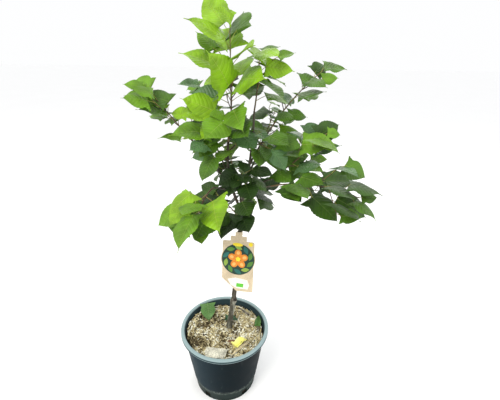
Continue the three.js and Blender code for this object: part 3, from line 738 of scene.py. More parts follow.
@cache
def mottling() -> NodeTree:
    """Builds fine grain over broad clouds, as wood fibre, card and green wood have.

    Returns:
        A group that puts out the mask of the second colour, and the grain's relief.
    """
    grain = {"Grain": 320.0, "Detail": 3.0, "Harshness": 0.6, "Upright": 1.0}
    recipe, given = start_effect("mottling", **grain, Clouds=45.0, Cloudy=0.4, From=0.36, To=0.64)
    stretch = recipe.step("ShaderNodeCombineXYZ", {0: 1.0, 1: 1.0, 2: given["Upright"]})
    fine = recipe.spots(given["Grain"], given["Detail"], given["Harshness"], stretch)
    value = recipe.mix(given["Cloudy"], fine, recipe.spots(given["Clouds"], 2))
    return recipe.put_out(Mask=recipe.window(value, given["From"], given["To"]), Relief=fine)


class Finish:
    """A finish, which makes its material from its own recipe."""

    def build(self, name: str) -> Material:
        """Builds the material.

        Args:
            name: The material's name.

        Returns:
            The material.
        """
        material = bpy.data.materials.new(name)
        material.use_nodes = True
        material.node_tree.nodes.clear()
        self.lay_out(Recipe(material.node_tree))
        return material

    def lay_out(self, recipe: Recipe) -> None:
        """Lays out the material's nodes, which each kind of finish does in its own way."""
        raise NotImplementedError


@dataclass(frozen=True)
class BladeSide(Finish):
    """One side of a blade: its body, its veins and which way they stand, and its gloss."""

    body: Colour
    vein: Colour
    roughness: float
    stand: float
    specular: float
    cloud: tuple[float, float] = (0.7, 1.18)
    showing: tuple[tuple[str, float], ...] = (("Net", 0.08), ("Veins", 0.26), ("Midrib", 0.55))
    gloss: tuple[float, float] = (-0.06, 0.16)
    relief: float = 0.75
    depth: float = 0.0011

    def lay_out(self, recipe: Recipe) -> None:
        """Lays out the clouded body colour with the veins over it.

        Args:
            recipe: The material's recipe.
        """
        marks = recipe.effect(blade_marks())
        colour = recipe.mix(marks["Cloud"], *(scaled(self.body, by) for by in self.cloud))
        for pattern, share in self.showing:
            colour = recipe.lay(colour, self.vein, marks[pattern], share)
        least, more = self.gloss
        gloss = recipe.math("MULTIPLY_ADD", marks["Gloss"], more, self.roughness + least)
        normal = recipe.bump(recipe.times(marks["Relief"], self.stand), self.relief, self.depth)
        recipe.shade("blade", colour, gloss, normal, Specular_IOR_Level=self.specular)


@dataclass(frozen=True)
class LeafFinish:
    """Leaf tissue: its upper and lower colours, its vein colour, its roughness and its slot."""

    upper: Colour
    lower: Colour
    vein: Colour
    roughness: float
    slot: str

    def both(self, name: str) -> list[Material]:
        """Builds the materials of the smooth upper side and of the dull lower one.

        Args:
            name: The start of their names.

        Returns:
            The two materials.
        """
        upper = BladeSide(self.upper, self.vein, self.roughness, 1.0, 0.32)
        under = BladeSide(self.lower, self.vein, self.roughness, -1.0, 0.15)
        return [upper.build(f"{name}_upper"), under.build(f"{name}_under")]


# From the sunlit tone down to the shaded one, the greens get darker as painted light and painted shade.
LEAF_FINISHES = {
    Tone.SUNLIT: LeafFinish(rgb(128, 172, 22), rgb(134, 168, 52), rgb(172, 196, 76), 0.46, "leaf_bright"),
    Tone.FRESH: LeafFinish(rgb(98, 142, 24), rgb(118, 150, 58), rgb(148, 178, 72), 0.44, "leaf"),
    Tone.MID: LeafFinish(rgb(72, 111, 21), rgb(104, 132, 58), rgb(124, 156, 58), 0.42, "leaf"),
    Tone.DEEP: LeafFinish(rgb(51, 83, 18), rgb(88, 114, 54), rgb(98, 126, 50), 0.4, "leaf_dark"),
    Tone.SHADED: LeafFinish(rgb(34, 60, 16), rgb(70, 94, 46), rgb(76, 102, 42), 0.44, "leaf_dark"),
    # A painted reflection of the pale sky on glossy leaves.
    Tone.BLUISH: LeafFinish(rgb(78, 114, 66), rgb(112, 140, 100), rgb(122, 152, 98), 0.3, "leaf"),
}
WILTED = LeafFinish(rgb(246, 238, 138), rgb(232, 222, 140), rgb(196, 166, 90), 0.6, "leaf_yellow")
FALLEN_GREEN = LeafFinish(rgb(82, 122, 62), rgb(112, 146, 84), rgb(150, 178, 112), 0.34, "leaf")
FALLEN_DARK = LeafFinish(rgb(50, 84, 56), rgb(84, 114, 80), rgb(106, 136, 98), 0.34, "leaf")


@dataclass(frozen=True)
class BarkFinish(Finish):
    """Bark: its ground, its furrows and stains, its lenticels, and its browner growth above a height."""

    ground: Colour
    furrow: Colour
    speck: Colour
    specks: float = 0.3
    stains: float = 0.5
    young: Colour = rgb(62, 54, 42)
    young_share: float = 0.0
    young_span: tuple[float, float] = (0.3, 0.318)

    def lay_out(self, recipe: Recipe) -> None:
        """Lays out the ground with stains, young growth and lenticels over it.

        Args:
            recipe: The material's recipe.
        """
        marks = recipe.effect(bark_marks())
        colour = recipe.mix(marks["Ground"], self.furrow, self.ground)
        colour = recipe.lay(colour, self.furrow, marks["Stained"], self.stains)
        above = recipe.window(recipe.axis("Z"), *self.young_span)
        colour = recipe.lay(colour, self.young, above, self.young_share)
        colour = recipe.lay(colour, self.speck, marks["Dotted"], self.specks)
        recipe.shade("bark", colour, 0.78, recipe.bump(marks["Relief"], 0.8, 0.0008), Specular_IOR_Level=0.25)


BARK = BarkFinish(rgb(168, 168, 154), rgb(78, 76, 66), rgb(188, 186, 172), young_share=0.85)
SCAR = BarkFinish(rgb(42, 36, 31), rgb(26, 22, 19), rgb(76, 68, 60), specks=0.2)
DEAD_BARK = BarkFinish(rgb(134, 128, 116), rgb(78, 72, 64), rgb(164, 158, 146))


@dataclass(frozen=True)
class PotFinish(Finish):
    """Moulded pot plastic: dark, with paler clouds, a paler inside wall and dust below.

    Its left side, which faces the key lamp, is made paler as painted light, and the top of the rolled
    rim and a thin line at the lip's lower edge carry a painted highlight over the lip's darker face.

    Lengths are in metres. A pair is where a change begins and where it is complete.
    """

    body: Colour = rgb(13, 22, 26)
    # Paler plastic, used as painted light on the lamp's side and in broad random clouds.
    pale_and_lit: Colour = rgb(36, 55, 64)
    inside: Colour = rgb(48, 64, 68)
    lip: Colour = rgb(46, 62, 66)
    # Painted highlight colour for the rim's top and for the thin line at the lip's lower edge.
    rim: Colour = rgb(150, 170, 172)
    dust: Colour = rgb(104, 114, 106)
    foot: Colour = rgb(40, 50, 46)
    lit_side_span: tuple[float, float] = (0.03, -0.12)
    wall_slope: float = 0.13913
    wall_skins: tuple[float, float] = (0.0997, 0.0991)
    rim_radii: tuple[float, float] = (0.127, 0.1305)
    lip_heights: tuple[float, float] = (0.2125, 0.2145)
    # Where the painted highlight lies: the rim's top band, and a thin line at the lip's lower edge.
    painted_rim_light_heights: tuple[float, float] = (0.219, 0.2215)
    highlight_line_height: float = 0.2134
    highlight_line_reach: tuple[float, float] = (0.0022, 0.0008)
    highlight_line_radii: tuple[float, float] = (0.136, 0.139)
    foot_heights: tuple[float, float] = (0.042, 0.039)
    ledge: float = 0.041
    ledge_reach: tuple[float, float] = (0.0115, 0.001)
    raggedness: float = 0.02

    def lay_out(self, recipe: Recipe) -> None:
        """Lays out the plastic from its wall up to its rim and down to its foot.

        Args:
            recipe: The material's recipe.
        """
        height = recipe.axis("Z")
        squares = [recipe.math("POWER", recipe.axis(axis), 2.0) for axis in "XY"]
        radius = recipe.math("SQRT", recipe.math("ADD", *squares))
        cloud = recipe.spots(9, 4, 0.6)
        scuffs = recipe.spots(60, 4, 0.7, Vector((1.0, 1.0, 0.3)))
        # Painted light: the left side, towards the key lamp, is made paler; the same paler plastic also lies
        # in broad random clouds.
        side = recipe.window(recipe.axis("X"), *self.lit_side_span, (0.0, 0.8))
        colour = recipe.mix(side, self.body, self.pale_and_lit)
        colour = recipe.mix(recipe.window(cloud, 0.35, 0.7, (0.0, 0.12)), colour, self.pale_and_lit)
        colour = recipe.lay(colour, self.dust, recipe.window(scuffs, 0.6, 0.75), 0.1)
        lean = recipe.minus(radius, recipe.times(height, self.wall_slope))
        colour = recipe.mix(recipe.window(lean, *self.wall_skins), colour, self.inside)
        # Painted highlight on the rolled rim: the lip's face takes its darker tone, and the rim's top and a
        # thin line at the lip's lower edge the pale highlight colour.
        outer = recipe.window(radius, *self.rim_radii)
        lip, painted_rim_light = (recipe.window(height, *span) for span in (self.lip_heights, self.painted_rim_light_heights))
        from_edge = recipe.math("ABSOLUTE", recipe.minus(height, self.highlight_line_height))
        near_highlight_line = recipe.window(from_edge, *self.highlight_line_reach)
        edge = recipe.times(near_highlight_line, recipe.window(radius, *self.highlight_line_radii))
        colour = recipe.mix(recipe.times(lip, outer), colour, self.lip)
        colour = recipe.lay(colour, self.rim, edge, 0.85)
        colour = recipe.lay(colour, self.rim, recipe.times(painted_rim_light, outer), 0.95)
        colour = recipe.lay(colour, self.foot, recipe.window(height, *self.foot_heights), 0.85)
        ragged = recipe.math("ADD", height, recipe.times(recipe.minus(scuffs, 0.5), self.raggedness))
        from_ledge = recipe.math("ABSOLUTE", recipe.minus(ragged, self.ledge))
        flecks = recipe.window(recipe.spots(130, 3, 0.7), 0.42, 0.62, (0.15, 0.9))
        settled = recipe.times(recipe.window(from_ledge, *self.ledge_reach), flecks)
        colour = recipe.mix(settled, colour, self.dust)
        gloss = recipe.window(cloud, 0.3, 0.7, (0.42, 0.56))
        normal = recipe.bump(recipe.spots(900, 2), 0.25, 0.0002)
        recipe.shade("plastic", colour, gloss, normal, Specular_IOR_Level=0.03)


@dataclass(frozen=True)
class Surface:
    """How a mottled surface looks, apart from its colours: its roughness, relief, gloss and mottling."""

    name: str
    roughness: float
    relief: float
    depth: float
    specular: float
    marks: dict[str, float] = field(default_factory=dict)


FIBRE = Surface("fibre", 0.92, 0.5, 0.0006, 0.15)
FLECKS = {"Grain": 420, "Detail": 4, "Harshness": 0.7, "Upright": 0.45, "Clouds": 34, "Cloudy": 0.45}
CARD = Surface("card", 0.6, 0.2, 0.0002, 0.3, FLECKS)
PRINTED = Surface("card", 0.45, 0.2, 0.0002, 0.3, FLECKS)
PATCHES = {"Grain": 500, "Detail": 2, "Harshness": 0.5, "Clouds": 22, "Cloudy": 1, "From": 0.4, "To": 0.62}
STALK = Surface("stalk", 0.5, 0.3, 0.0003, 0.35, PATCHES)


@dataclass(frozen=True)
class MottledFinish(Finish):
    """A mottled surface of wood fibre, card, ink or green wood, in two colours."""

    surface: Surface
    ground: Colour
    flush: Colour

    def lay_out(self, recipe: Recipe) -> None:
        """Lays out the mottling.

        Args:
            recipe: The material's recipe.
        """
        look = self.surface
        marks = recipe.effect(mottling(), **look.marks)
        colour = recipe.mix(marks["Mask"], self.ground, self.flush)
        normal = recipe.bump(marks["Relief"], look.relief, look.depth)
        recipe.shade(look.name, colour, look.roughness, normal, Specular_IOR_Level=look.specular)


def mottled(surface: Surface, colour: Colour, spread: float) -> MottledFinish:
    """Returns a finish of one colour that strays by a share to the dark and the pale."""
    return MottledFinish(surface, scaled(colour, 1 - spread), scaled(colour, 1 + spread))


GREEN_WOOD = MottledFinish(STALK, rgb(104, 84, 52), rgb(78, 58, 42))
LEAF_STALK = MottledFinish(STALK, rgb(148, 158, 72), rgb(142, 124, 66))
BLEACHED_WOOD = mottled(FIBRE, rgb(200, 197, 180), 0.42)
DRY_BROWN = mottled(FIBRE, rgb(120, 90, 66), 0.3)
DRY_BEIGE = mottled(FIBRE, rgb(206, 192, 156), 0.3)
# Near black: dark like soil, and darker still as painted shade, so that the gaps between chips show as
# shadow.
SHADE_DARK_BED = mottled(FIBRE, rgb(34, 29, 21), 0.5)
MULCH_FINISHES = {
    "straw": mottled(FIBRE, rgb(212, 201, 160), 0.24),
    "pale": mottled(FIBRE, rgb(244, 240, 218), 0.24),
    "tan": mottled(FIBRE, rgb(166, 152, 114), 0.24),
    "brown": mottled(FIBRE, rgb(88, 78, 56), 0.24),
}
KRAFT = mottled(CARD, rgb(206, 188, 158), 0.16)


class Ink(Enum):
    """The inks of the tag's print, with their colours."""

    NIGHT = rgb(32, 62, 50)
    MEADOW = rgb(86, 132, 52)
    TEAL = rgb(40, 104, 96)
    LIME = rgb(140, 168, 70)
    ORANGE = rgb(226, 136, 44)
    PEACH = rgb(246, 186, 104)
    YELLOW = rgb(240, 214, 52)
    WHITE = rgb(238, 234, 222)
    GRASS = rgb(96, 190, 58)


@dataclass
class Bundle:
    """Many small solids gathered into one mesh, counted in millimetres until it is made."""

    name: str
    points: list[np.ndarray] = field(default_factory=list)
    faces: Faces = field(default_factory=list)
    kinds: list[int] = field(default_factory=list)
    maps: list[np.ndarray] = field(default_factory=list)
    count: int = 0

    def add(self, points: np.ndarray, faces: Faces, kind: int = 0, places: np.ndarray | None = None) -> None:
        """Adds one solid.

        Args:
            points: Its corners in millimetres.
            faces: Its faces, as numbers of its own corners.
            kind: The material slot of its faces.
            places: Its corners' places on the UV map, if it has one.
        """
        self.points.append(points)
        self.faces.extend(tuple(i + self.count for i in face) for face in faces)
        self.kinds.extend([kind] * len(faces))
        self.maps.append(np.zeros((len(points), 2)) if places is None else places)
        self.count += len(points)

    def make(self, materials: Sequence[Material], uv: str | None = None, smooth: float = 40) -> Piece:
        """Makes the mesh object.

        Args:
            materials: The materials of its slots.
            uv: The name of its UV map, or None for none.
            smooth: The angle in degrees up to which edges are smooth.

        Returns:
            The object, at the origin.
        """
        mesh = bpy.data.meshes.new(self.name)
        mesh.from_pydata((np.concatenate(self.points) * MM).tolist(), [], self.faces)
        for material in materials:
            mesh.materials.append(material)
        mesh.polygons.foreach_set("material_index", self.kinds)
        if uv:
            layer = mesh.uv_layers.new(name=uv)
            corners = np.zeros(len(mesh.loops), np.int32)
            mesh.loops.foreach_get("vertex_index", corners)
            layer.data.foreach_set("uv", np.concatenate(self.maps)[corners].ravel())
        mesh.update()
        obj = linked(self.name, mesh)
        pick(obj)
        smoothen(smooth)
        return obj


def pick(*objects: Piece) -> None:
    """Selects only the given objects, the last of them active.

    Args:
        objects: The objects.
    """
    bpy.ops.object.select_all(action="DESELECT")
    for obj in objects:
        obj.select_set(True)
        bpy.context.view_layer.objects.active = obj


def linked(name: str, data: bpy.types.ID) -> Piece:
    """Adds an object to the scene.

    Args:
        name: The object's name.
        data: Its mesh, curve, light or camera.

    Returns:
        The object.
    """
    obj = bpy.data.objects.new(name, data)
    bpy.context.scene.collection.objects.link(obj)
    return obj


def smoothen(angle: float) -> None:
    """Smooths the picked object's edges up to an angle in degrees."""
    bpy.ops.object.shade_smooth_by_angle(angle=math.radians(angle))


def settle() -> None:
    """Puts the place, turn and scale of the picked objects into their meshes."""
    bpy.ops.object.transform_apply(location=True, rotation=True, scale=True)


def named(name: str) -> Piece:
    """Gives the active object and its mesh a name.

    Args:
        name: The name.

    Returns:
        The object.
    """
    obj = bpy.context.object
    obj.name = obj.data.name = name
    return obj


def taper(foot: float, end: float) -> Callable[[float], float]:
    """Returns the radius rule of a bar that narrows evenly from its foot to its end."""
    return lambda share: lerp(foot, end, share)


def grain(*layers: tuple[float, float]) -> Relief:
    """Returns a relief rule of noise layers, each with its depth and its scale to a millimetre."""
    return lambda point, share, angle: sum(depth * noise.noise(point * scale) for depth, scale in layers)


def bell(height: float, middle: float, half: float) -> float:
    """Returns 1 at a middle height, falling off smoothly over about half to either side."""
    return math.exp(-(((height - middle) / half) ** 2))


def tube(
    path: Path,
    radius_at: Callable[[float], float],
    sides: int,
    relief: Relief | None = None,
    level_steps: int = 0,
) -> Solid:
    """Lofts a closed round bar along a path.

    Args:
        path: The bar's points.
        radius_at: Its radius at a share of the path.
        sides: How many corners each ring has.
        relief: What is added to the radius at a point, a share and an angle round the bar.
        level_steps: Over how many steps from its foot the rings turn from level to square.

    Returns:
        Its corners, and its faces.
    """
    points = []
    lead = Vector((0.31, 0.95, 0.0))
    steps = len(path) - 1
    for i, centre in enumerate(path):
        step = (path[min(i + 1, steps)] - path[max(i - 1, 0)]).normalized()
        if level_steps:
            step = UP.lerp(step, min(1.0, i / level_steps)).normalized()
        lead = (lead - step * lead.dot(step)).normalized()
        other = step.cross(lead)
        for k in range(sides):
            angle = 2 * math.pi * k / sides
            out = lead * math.cos(angle) + other * math.sin(angle)
            radius = radius_at(i / steps)
            if relief:
                radius += relief(centre + out * radius, i / steps, angle)
            points.append(centre + out * radius)
    faces = [
        (i * sides + k, i * sides + (k + 1) % sides, (i + 1) * sides + (k + 1) % sides, (i + 1) * sides + k)
        for i in range(steps)
        for k in range(sides)
    ]
    foot, end = len(points), len(points) + 1
    points += [path[0], path[-1]]
    faces += [(foot, (k + 1) % sides, k) for k in range(sides)]
    faces += [(end, steps * sides + k, steps * sides + (k + 1) % sides) for k in range(sides)]
    return np.array([p[:] for p in points]), faces


def refined(path: Path, steps: int) -> Path:
    """Lays a path of more steps on a smooth curve through the given points.

    Args:
        path: The points.
        steps: How many steps the new path has.

    Returns:
        The new path's points.
    """
    ends = [path[0] * 2 - path[1], *path, path[-1] * 2 - path[-2]]
    fine = []
    for i in range(steps + 1):
        spot = i / steps * (len(path) - 1)
        k = min(len(path) - 2, int(spot))
        t = spot - k
        a, b, c, d = ends[k : k + 4]
        bend = (b * 2) + (c - a) * t + (a * 2 - b * 5 + c * 4 - d) * t**2 + (b * 3 - a - c * 3 + d) * t**3
        fine.append(bend * 0.5)
    return fine


@dataclass(frozen=True)
class BladeMaker:
    """Makes whole leaf blades: a toothed outline, folded, cupped, waved and curled, with two skins.

    Widths and heights are shares of the blade's length, and its thickness is in millimetres.
    """

    rows: int = 32
    columns: int = 8
    crowding: float = 0.92
    fullness: float = 1.05
    tooth: float = 0.022
    toothed_from: float = 0.08
    lobe: float = 0.075
    lobe_end: float = 0.25
    cup: float = 0.55
    wave: float = 0.018
    waves: float = 9
    lag: float = 1.1
    thickness: float = 0.4
    edge_share: float = 0.25

    def corners(self, leaf: Leaf, lift: float, phase: float) -> tuple[np.ndarray, np.ndarray]:
        """Lays out one skin of the blade.

        Args:
            leaf: The leaf.
            lift: How far the skin lies above the blade's middle, in millimetres.
            phase: Where the waves of its margin start, in radians.

        Returns:
            Its corners row by row, and their places on the UV map.
        """
        shares = (1 - np.cos(np.pi * np.linspace(0, 1, self.rows + 1) ** self.crowding)) / 2
        sides = np.sin(np.linspace(-1, 1, self.columns + 1) * np.pi / 2)
        run, face, across, foot = (np.array(v[:]) for v in (leaf.run, leaf.face, leaf.across, leaf.foot))
        points, places = [], []
        for i, share in enumerate(shares):
            inner = 0 < i < self.rows
            toothed = self.tooth * (-1) ** i if inner and share > self.toothed_from else 0
            width = leaf.half_width(float(share)) * (self.fullness + toothed)
            lobed = max(0.0, 1 - share / self.lobe_end) ** 2 if inner else 0
            for side in sides:
                reach = width * side
                back = self.lobe * abs(side) ** 1.5 * lobed
                forward = share * (1 - CURL_SHORTENS * leaf.curl * share) - back
                cup = abs(reach) * math.sin(leaf.fold) - self.cup * reach * reach
                turn = self.waves * share + phase + (self.lag if side > 0 else 0)
                ripple = self.wave * side * side * math.sin(turn) if inner else 0
                height = cup - leaf.curl * share * share + ripple
                thinned = 1 - (1 - self.edge_share) * abs(side) if inner else self.edge_share
                aside = across * (reach * math.cos(leaf.fold))
                spot = foot + leaf.length * (run * forward + face * height + aside)
                points.append(spot + face * lift * thinned)
                places.append((0.5 + reach, share))
        return np.array(points), np.array(places)

    def add(self, bundle: Bundle, leaf: Leaf, phase: float) -> None:
        """Adds one blade to a bundle, its upper skin in slot 0 and its lower one in slot 1.

        Args:
            bundle: The bundle.
            leaf: The leaf.
            phase: Where the waves of its margin start, in radians.
        """
        top, places = self.corners(leaf, self.thickness / 2, phase)
        low, _ = self.corners(leaf, -self.thickness / 2, phase)
        wide = self.columns + 1
        last = self.rows * wide
        skin = [
            self._joined((r * wide + c, r * wide + c + 1, (r + 1) * wide + c + 1, (r + 1) * wide + c))
            for r in range(self.rows)
            for c in range(self.columns)
        ]
        upper = bundle.count
        bundle.add(top, skin, 0, places)
        lower = bundle.count
        bundle.add(low, [face[::-1] for face in skin], 1, places)
        for column, turn in ((0, -1), (self.columns, 1)):
            rim = [0, *(r * wide + column for r in range(1, self.rows)), last]
            for a, b in zip(rim, rim[1:]):
                bundle.faces.append((upper + a, lower + a, lower + b, upper + b)[::turn])
                bundle.kinds.append(1)

    def _joined(self, face: tuple[int, ...]) -> tuple[int, ...]:
        """Joins the corners of a face that lie on one of the blade's two tips.

        Args:
            face: The face. The first and last rows of a skin are single points, so all their
                corners become the first one of the row.

        Returns:
            The face without doubled corners.
        """
        wide = self.columns + 1
        ring = [i - i % wide if i < wide or i >= self.rows * wide else i for i in face]
        return tuple(corner for n, corner in enumerate(ring) if corner != ring[n - 1])


def stalk_path(leaf: Leaf, sag: float = 0.04) -> Path:
    """Lays the path of a leaf's stalk and of the first part of its midrib.

    Args:
        leaf: The leaf.
        sag: How far the stalk bows, as a share of its length.

    Returns:
        The path's points.
    """
    reach = leaf.foot - leaf.node
    bow = leaf.run.cross(leaf.across).normalized() * -1
    shares = (0, 0.25, 0.5, 0.75, 1)
    path = [leaf.node + reach * t + bow * (reach.length * sag * math.sin(math.pi * t)) for t in shares]
    return path + [leaf.foot + leaf.run * (leaf.length * 0.05) - leaf.face * 0.3]


@dataclass
class Woody:
    """The trunk, its two leaders and the boughs, in one mesh with the bark's relief.

    Heights are in millimetres above the mulch, and angles round the trunk are in radians.
    """

    foot: Vector = field(default_factory=lambda: Vector((11.0, 25.0, 190.3)))
    flare: float = 3.6
    flare_height: float = 14.0
    above_graft: float = 7.6
    graft_height: float = 118.0
    graft_swell: float = 1.8
    graft_half: float = 12.0
    furrows: float = 0.35
    knob_half: float = 9.0
    knob_lump: float = 2.0
    knob_side: float = 1.2
    notch_above: float = 11.0
    notch_half: float = 5.0
    notch_depth: float = 2.6
    root_ridges: int = 4
    root_depth: float = 0.9
    root_height: float = 9.0
    stub_above: float = 3.0
    stub_direction: tuple[float, float, float] = (0.5, -0.78, 0.36)
    stub_reach: tuple[float, float] = (7.0, 14.5)
    paths: dict[str, Path] = field(default_factory=dict)

    def lay_out(self) -> None:
        """Lays the limbs' paths as the solids' source does."""
        for limb in LIMBS:
            start = self.foot if limb.on is None else along(self.paths[limb.on], limb.share)[0]
            run = (limb.azimuth, limb.rise, limb.length, limb.bend, limb.steps)
            self.paths[limb.name] = bent_path(start, *run)

    def trunk_radius(self, height: float) -> float:
        """Finds the trunk's radius.

        Args:
            height: The height above the mulch.

        Returns:
            The radius, with the root flare and the swelling of the graft.
        """
        over = height > self.graft_height
        share = (height - self.graft_height) / (TRUNK.length - self.graft_height)
        stem = lerp(self.above_graft, TRUNK.radii[1], share) if over else TRUNK.radii[0]
        swell = self.graft_swell * bell(height, self.graft_height, self.graft_half)
        return stem + self.flare * math.exp(-height / self.flare_height) + swell

    def relief(self, point: Vector, share: float, angle: float) -> float:
        """Finds the trunk's relief: furrows, the lopsided graft with its notch, and the roots' ridges.

        Args:
            point: The point on the plain trunk.
            share: Its share of the trunk's length.
            angle: Its angle round the trunk.

        Returns:
            What is added to the radius.
        """
        height = share * TRUNK.length
        furrows = noise.noise(Vector((point.x * 0.42, point.y * 0.42, point.z * 0.05))) * self.furrows
        lump = noise.noise(Vector((point.x * 0.2, point.y * 0.2, point.z * 0.16))) * self.knob_lump
        side = self.knob_side * math.cos(angle + 1.2)
        knob = bell(height, self.graft_height, self.knob_half) * (side + lump)
        scar = bell(height, self.graft_height + self.notch_above, self.notch_half)
        notch = self.notch_depth * scar * max(0.0, math.cos(angle - 2.0))
        ridges = math.exp(-height / self.root_height) * math.cos(self.root_ridges * angle + 0.7)
        return furrows + knob - notch + self.root_depth * ridges

    def build(self) -> Piece:
        """Builds the limbs.

        Returns:
            The mesh of all limbs.
        """
        bundle = Bundle("bark_limbs")
        trunk = refined(self.paths[TRUNK.name], 220)
        bundle.add(*tube(trunk, lambda t: self.trunk_radius(t * TRUNK.length), 28, self.relief, 12))
        for limb in LIMBS[1:]:
            path = refined(self.paths[limb.name], max(24, int(limb.length / 4)))
            bundle.add(*tube(path, limb.radius, 14, grain((0.18, 0.3), (0.1, 0.9))))
        bundle.add(*self.stub(), 1)
        return bundle.make([BARK.build("trunk_bark"), SCAR.build("graft_scar")])

    def stub(self) -> Solid:
        """Lofts the short dead stub that the graft left on the knob.

        Returns:
            Its corners, and its faces.
        """
        centre = along(self.paths[TRUNK.name], (self.graft_height + self.stub_above) / TRUNK.length)[0]
        go = Vector(self.stub_direction).normalized()
        path = refined([centre, *(centre + go * reach for reach in self.stub_reach)], 8)
        return tube(path, taper(5.2, 4.4), 12, grain((0.4, 0.5)))


@dataclass
class Foliage:
    """The masses: stems, twigs, stalks and blades, each kind gathered apart.

    A leaf is made where enough corners of its outline lie near corners of the mass's solid.
    """

    habit: Habit = Habit()
    maker: BladeMaker = BladeMaker()
    near: float = 1.2
    enough: int = 3
    blades: dict[Tone, Bundle] = field(default_factory=dict)
    wood: Bundle = field(default_factory=lambda: Bundle("green_wood"))
    stalks: Bundle = field(default_factory=lambda: Bundle("leaf_stalks"))
    kept: int = 0

    def solid_tree(self, node: str) -> KDTree:
        """Sorts the corners of a mass's solid for searching.

        Args:
            node: The solid's node.

        Returns:
            The search tree, in metres.
        """
        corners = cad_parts[node].data.vertices
        tree = KDTree(len(corners))
        for i, corner in enumerate(corners):
            tree.insert(corner.co, i)
        tree.balance()
        return tree

    def stands(self, tree: KDTree, leaf: Leaf) -> bool:
        """Tells whether the solid has a leaf.

        Args:
            tree: The search tree of the solid's corners.
            leaf: The leaf.

        Returns:
            True if most of its outline's corners are in it.
        """
        spots = [leaf.solid_point(1, 0)] + [leaf.solid_point(s, v) for s in (0.2, 0.6) for v in (-1, 1)]
        return sum(tree.find(spot * MM)[2] < self.near * MM for spot in spots) >= self.enough

    def grow(self, mass: Mass, limb: Path) -> None:
        """Grows one mass and gathers its parts.

        Args:
            mass: The mass.
            limb: The path of the limb that it grows from.
        """
        tree = self.solid_tree(mass.name)
        dealer = Draws(mass.seed + 4000)
        stem, twigs = mass.grow(limb, self.habit)
        self.wood.add(*tube(refined(stem.path, 32), taper(2.1, 1.0), 8, grain((0.14, 0.35))))
        self._dress(tree, stem.leaves, mass, dealer)
        for twig in twigs:
            if any(self.stands(tree, leaf) for leaf in twig.leaves):
                self.wood.add(*tube(refined(twig.path, 10), taper(1.35, 0.85), 7))
                self._dress(tree, twig.leaves, mass, dealer)

    def _dress(self, tree: KDTree, leaves: Sequence[Leaf], mass: Mass, dealer: Draws) -> None:
        """Adds the blades and stalks of the leaves that the solid has.

        Args:
            tree: The search tree of the solid's corners.
            leaves: The leaves of one stem or twig.
            mass: The mass, for its tones.
            dealer: The draws that deal out the tones.
        """
        for leaf in leaves:
            tone = mass.tones[int(dealer.share() * len(mass.tones))]
            phase = dealer.share() * 6.28
            if not self.stands(tree, leaf):
                continue
            bundle = self.blades.setdefault(tone, Bundle(f"leaves_{tone.value}"))
            self.maker.add(bundle, leaf, phase)
            self.stalks.add(*tube(refined(stalk_path(leaf), 9), taper(0.95, 0.6), 6))
            self.kept += 1

    def build(self) -> list[tuple[Piece, str]]:
        """Makes the gathered meshes.

        Returns:
            The pieces, each with the name of its slot.
        """
        pieces = []
        for tone, bundle in self.blades.items():
            finish = LEAF_FINISHES[tone]
            pieces.append((bundle.make(finish.both(bundle.name), "blade", 60), finish.slot))
        pieces.append((self.wood.make([GREEN_WOOD.build("green_wood")], smooth=60), "bark"))
        pieces.append((self.stalks.make([LEAF_STALK.build("leaf_stalk")], smooth=60), "leaf"))
        return pieces


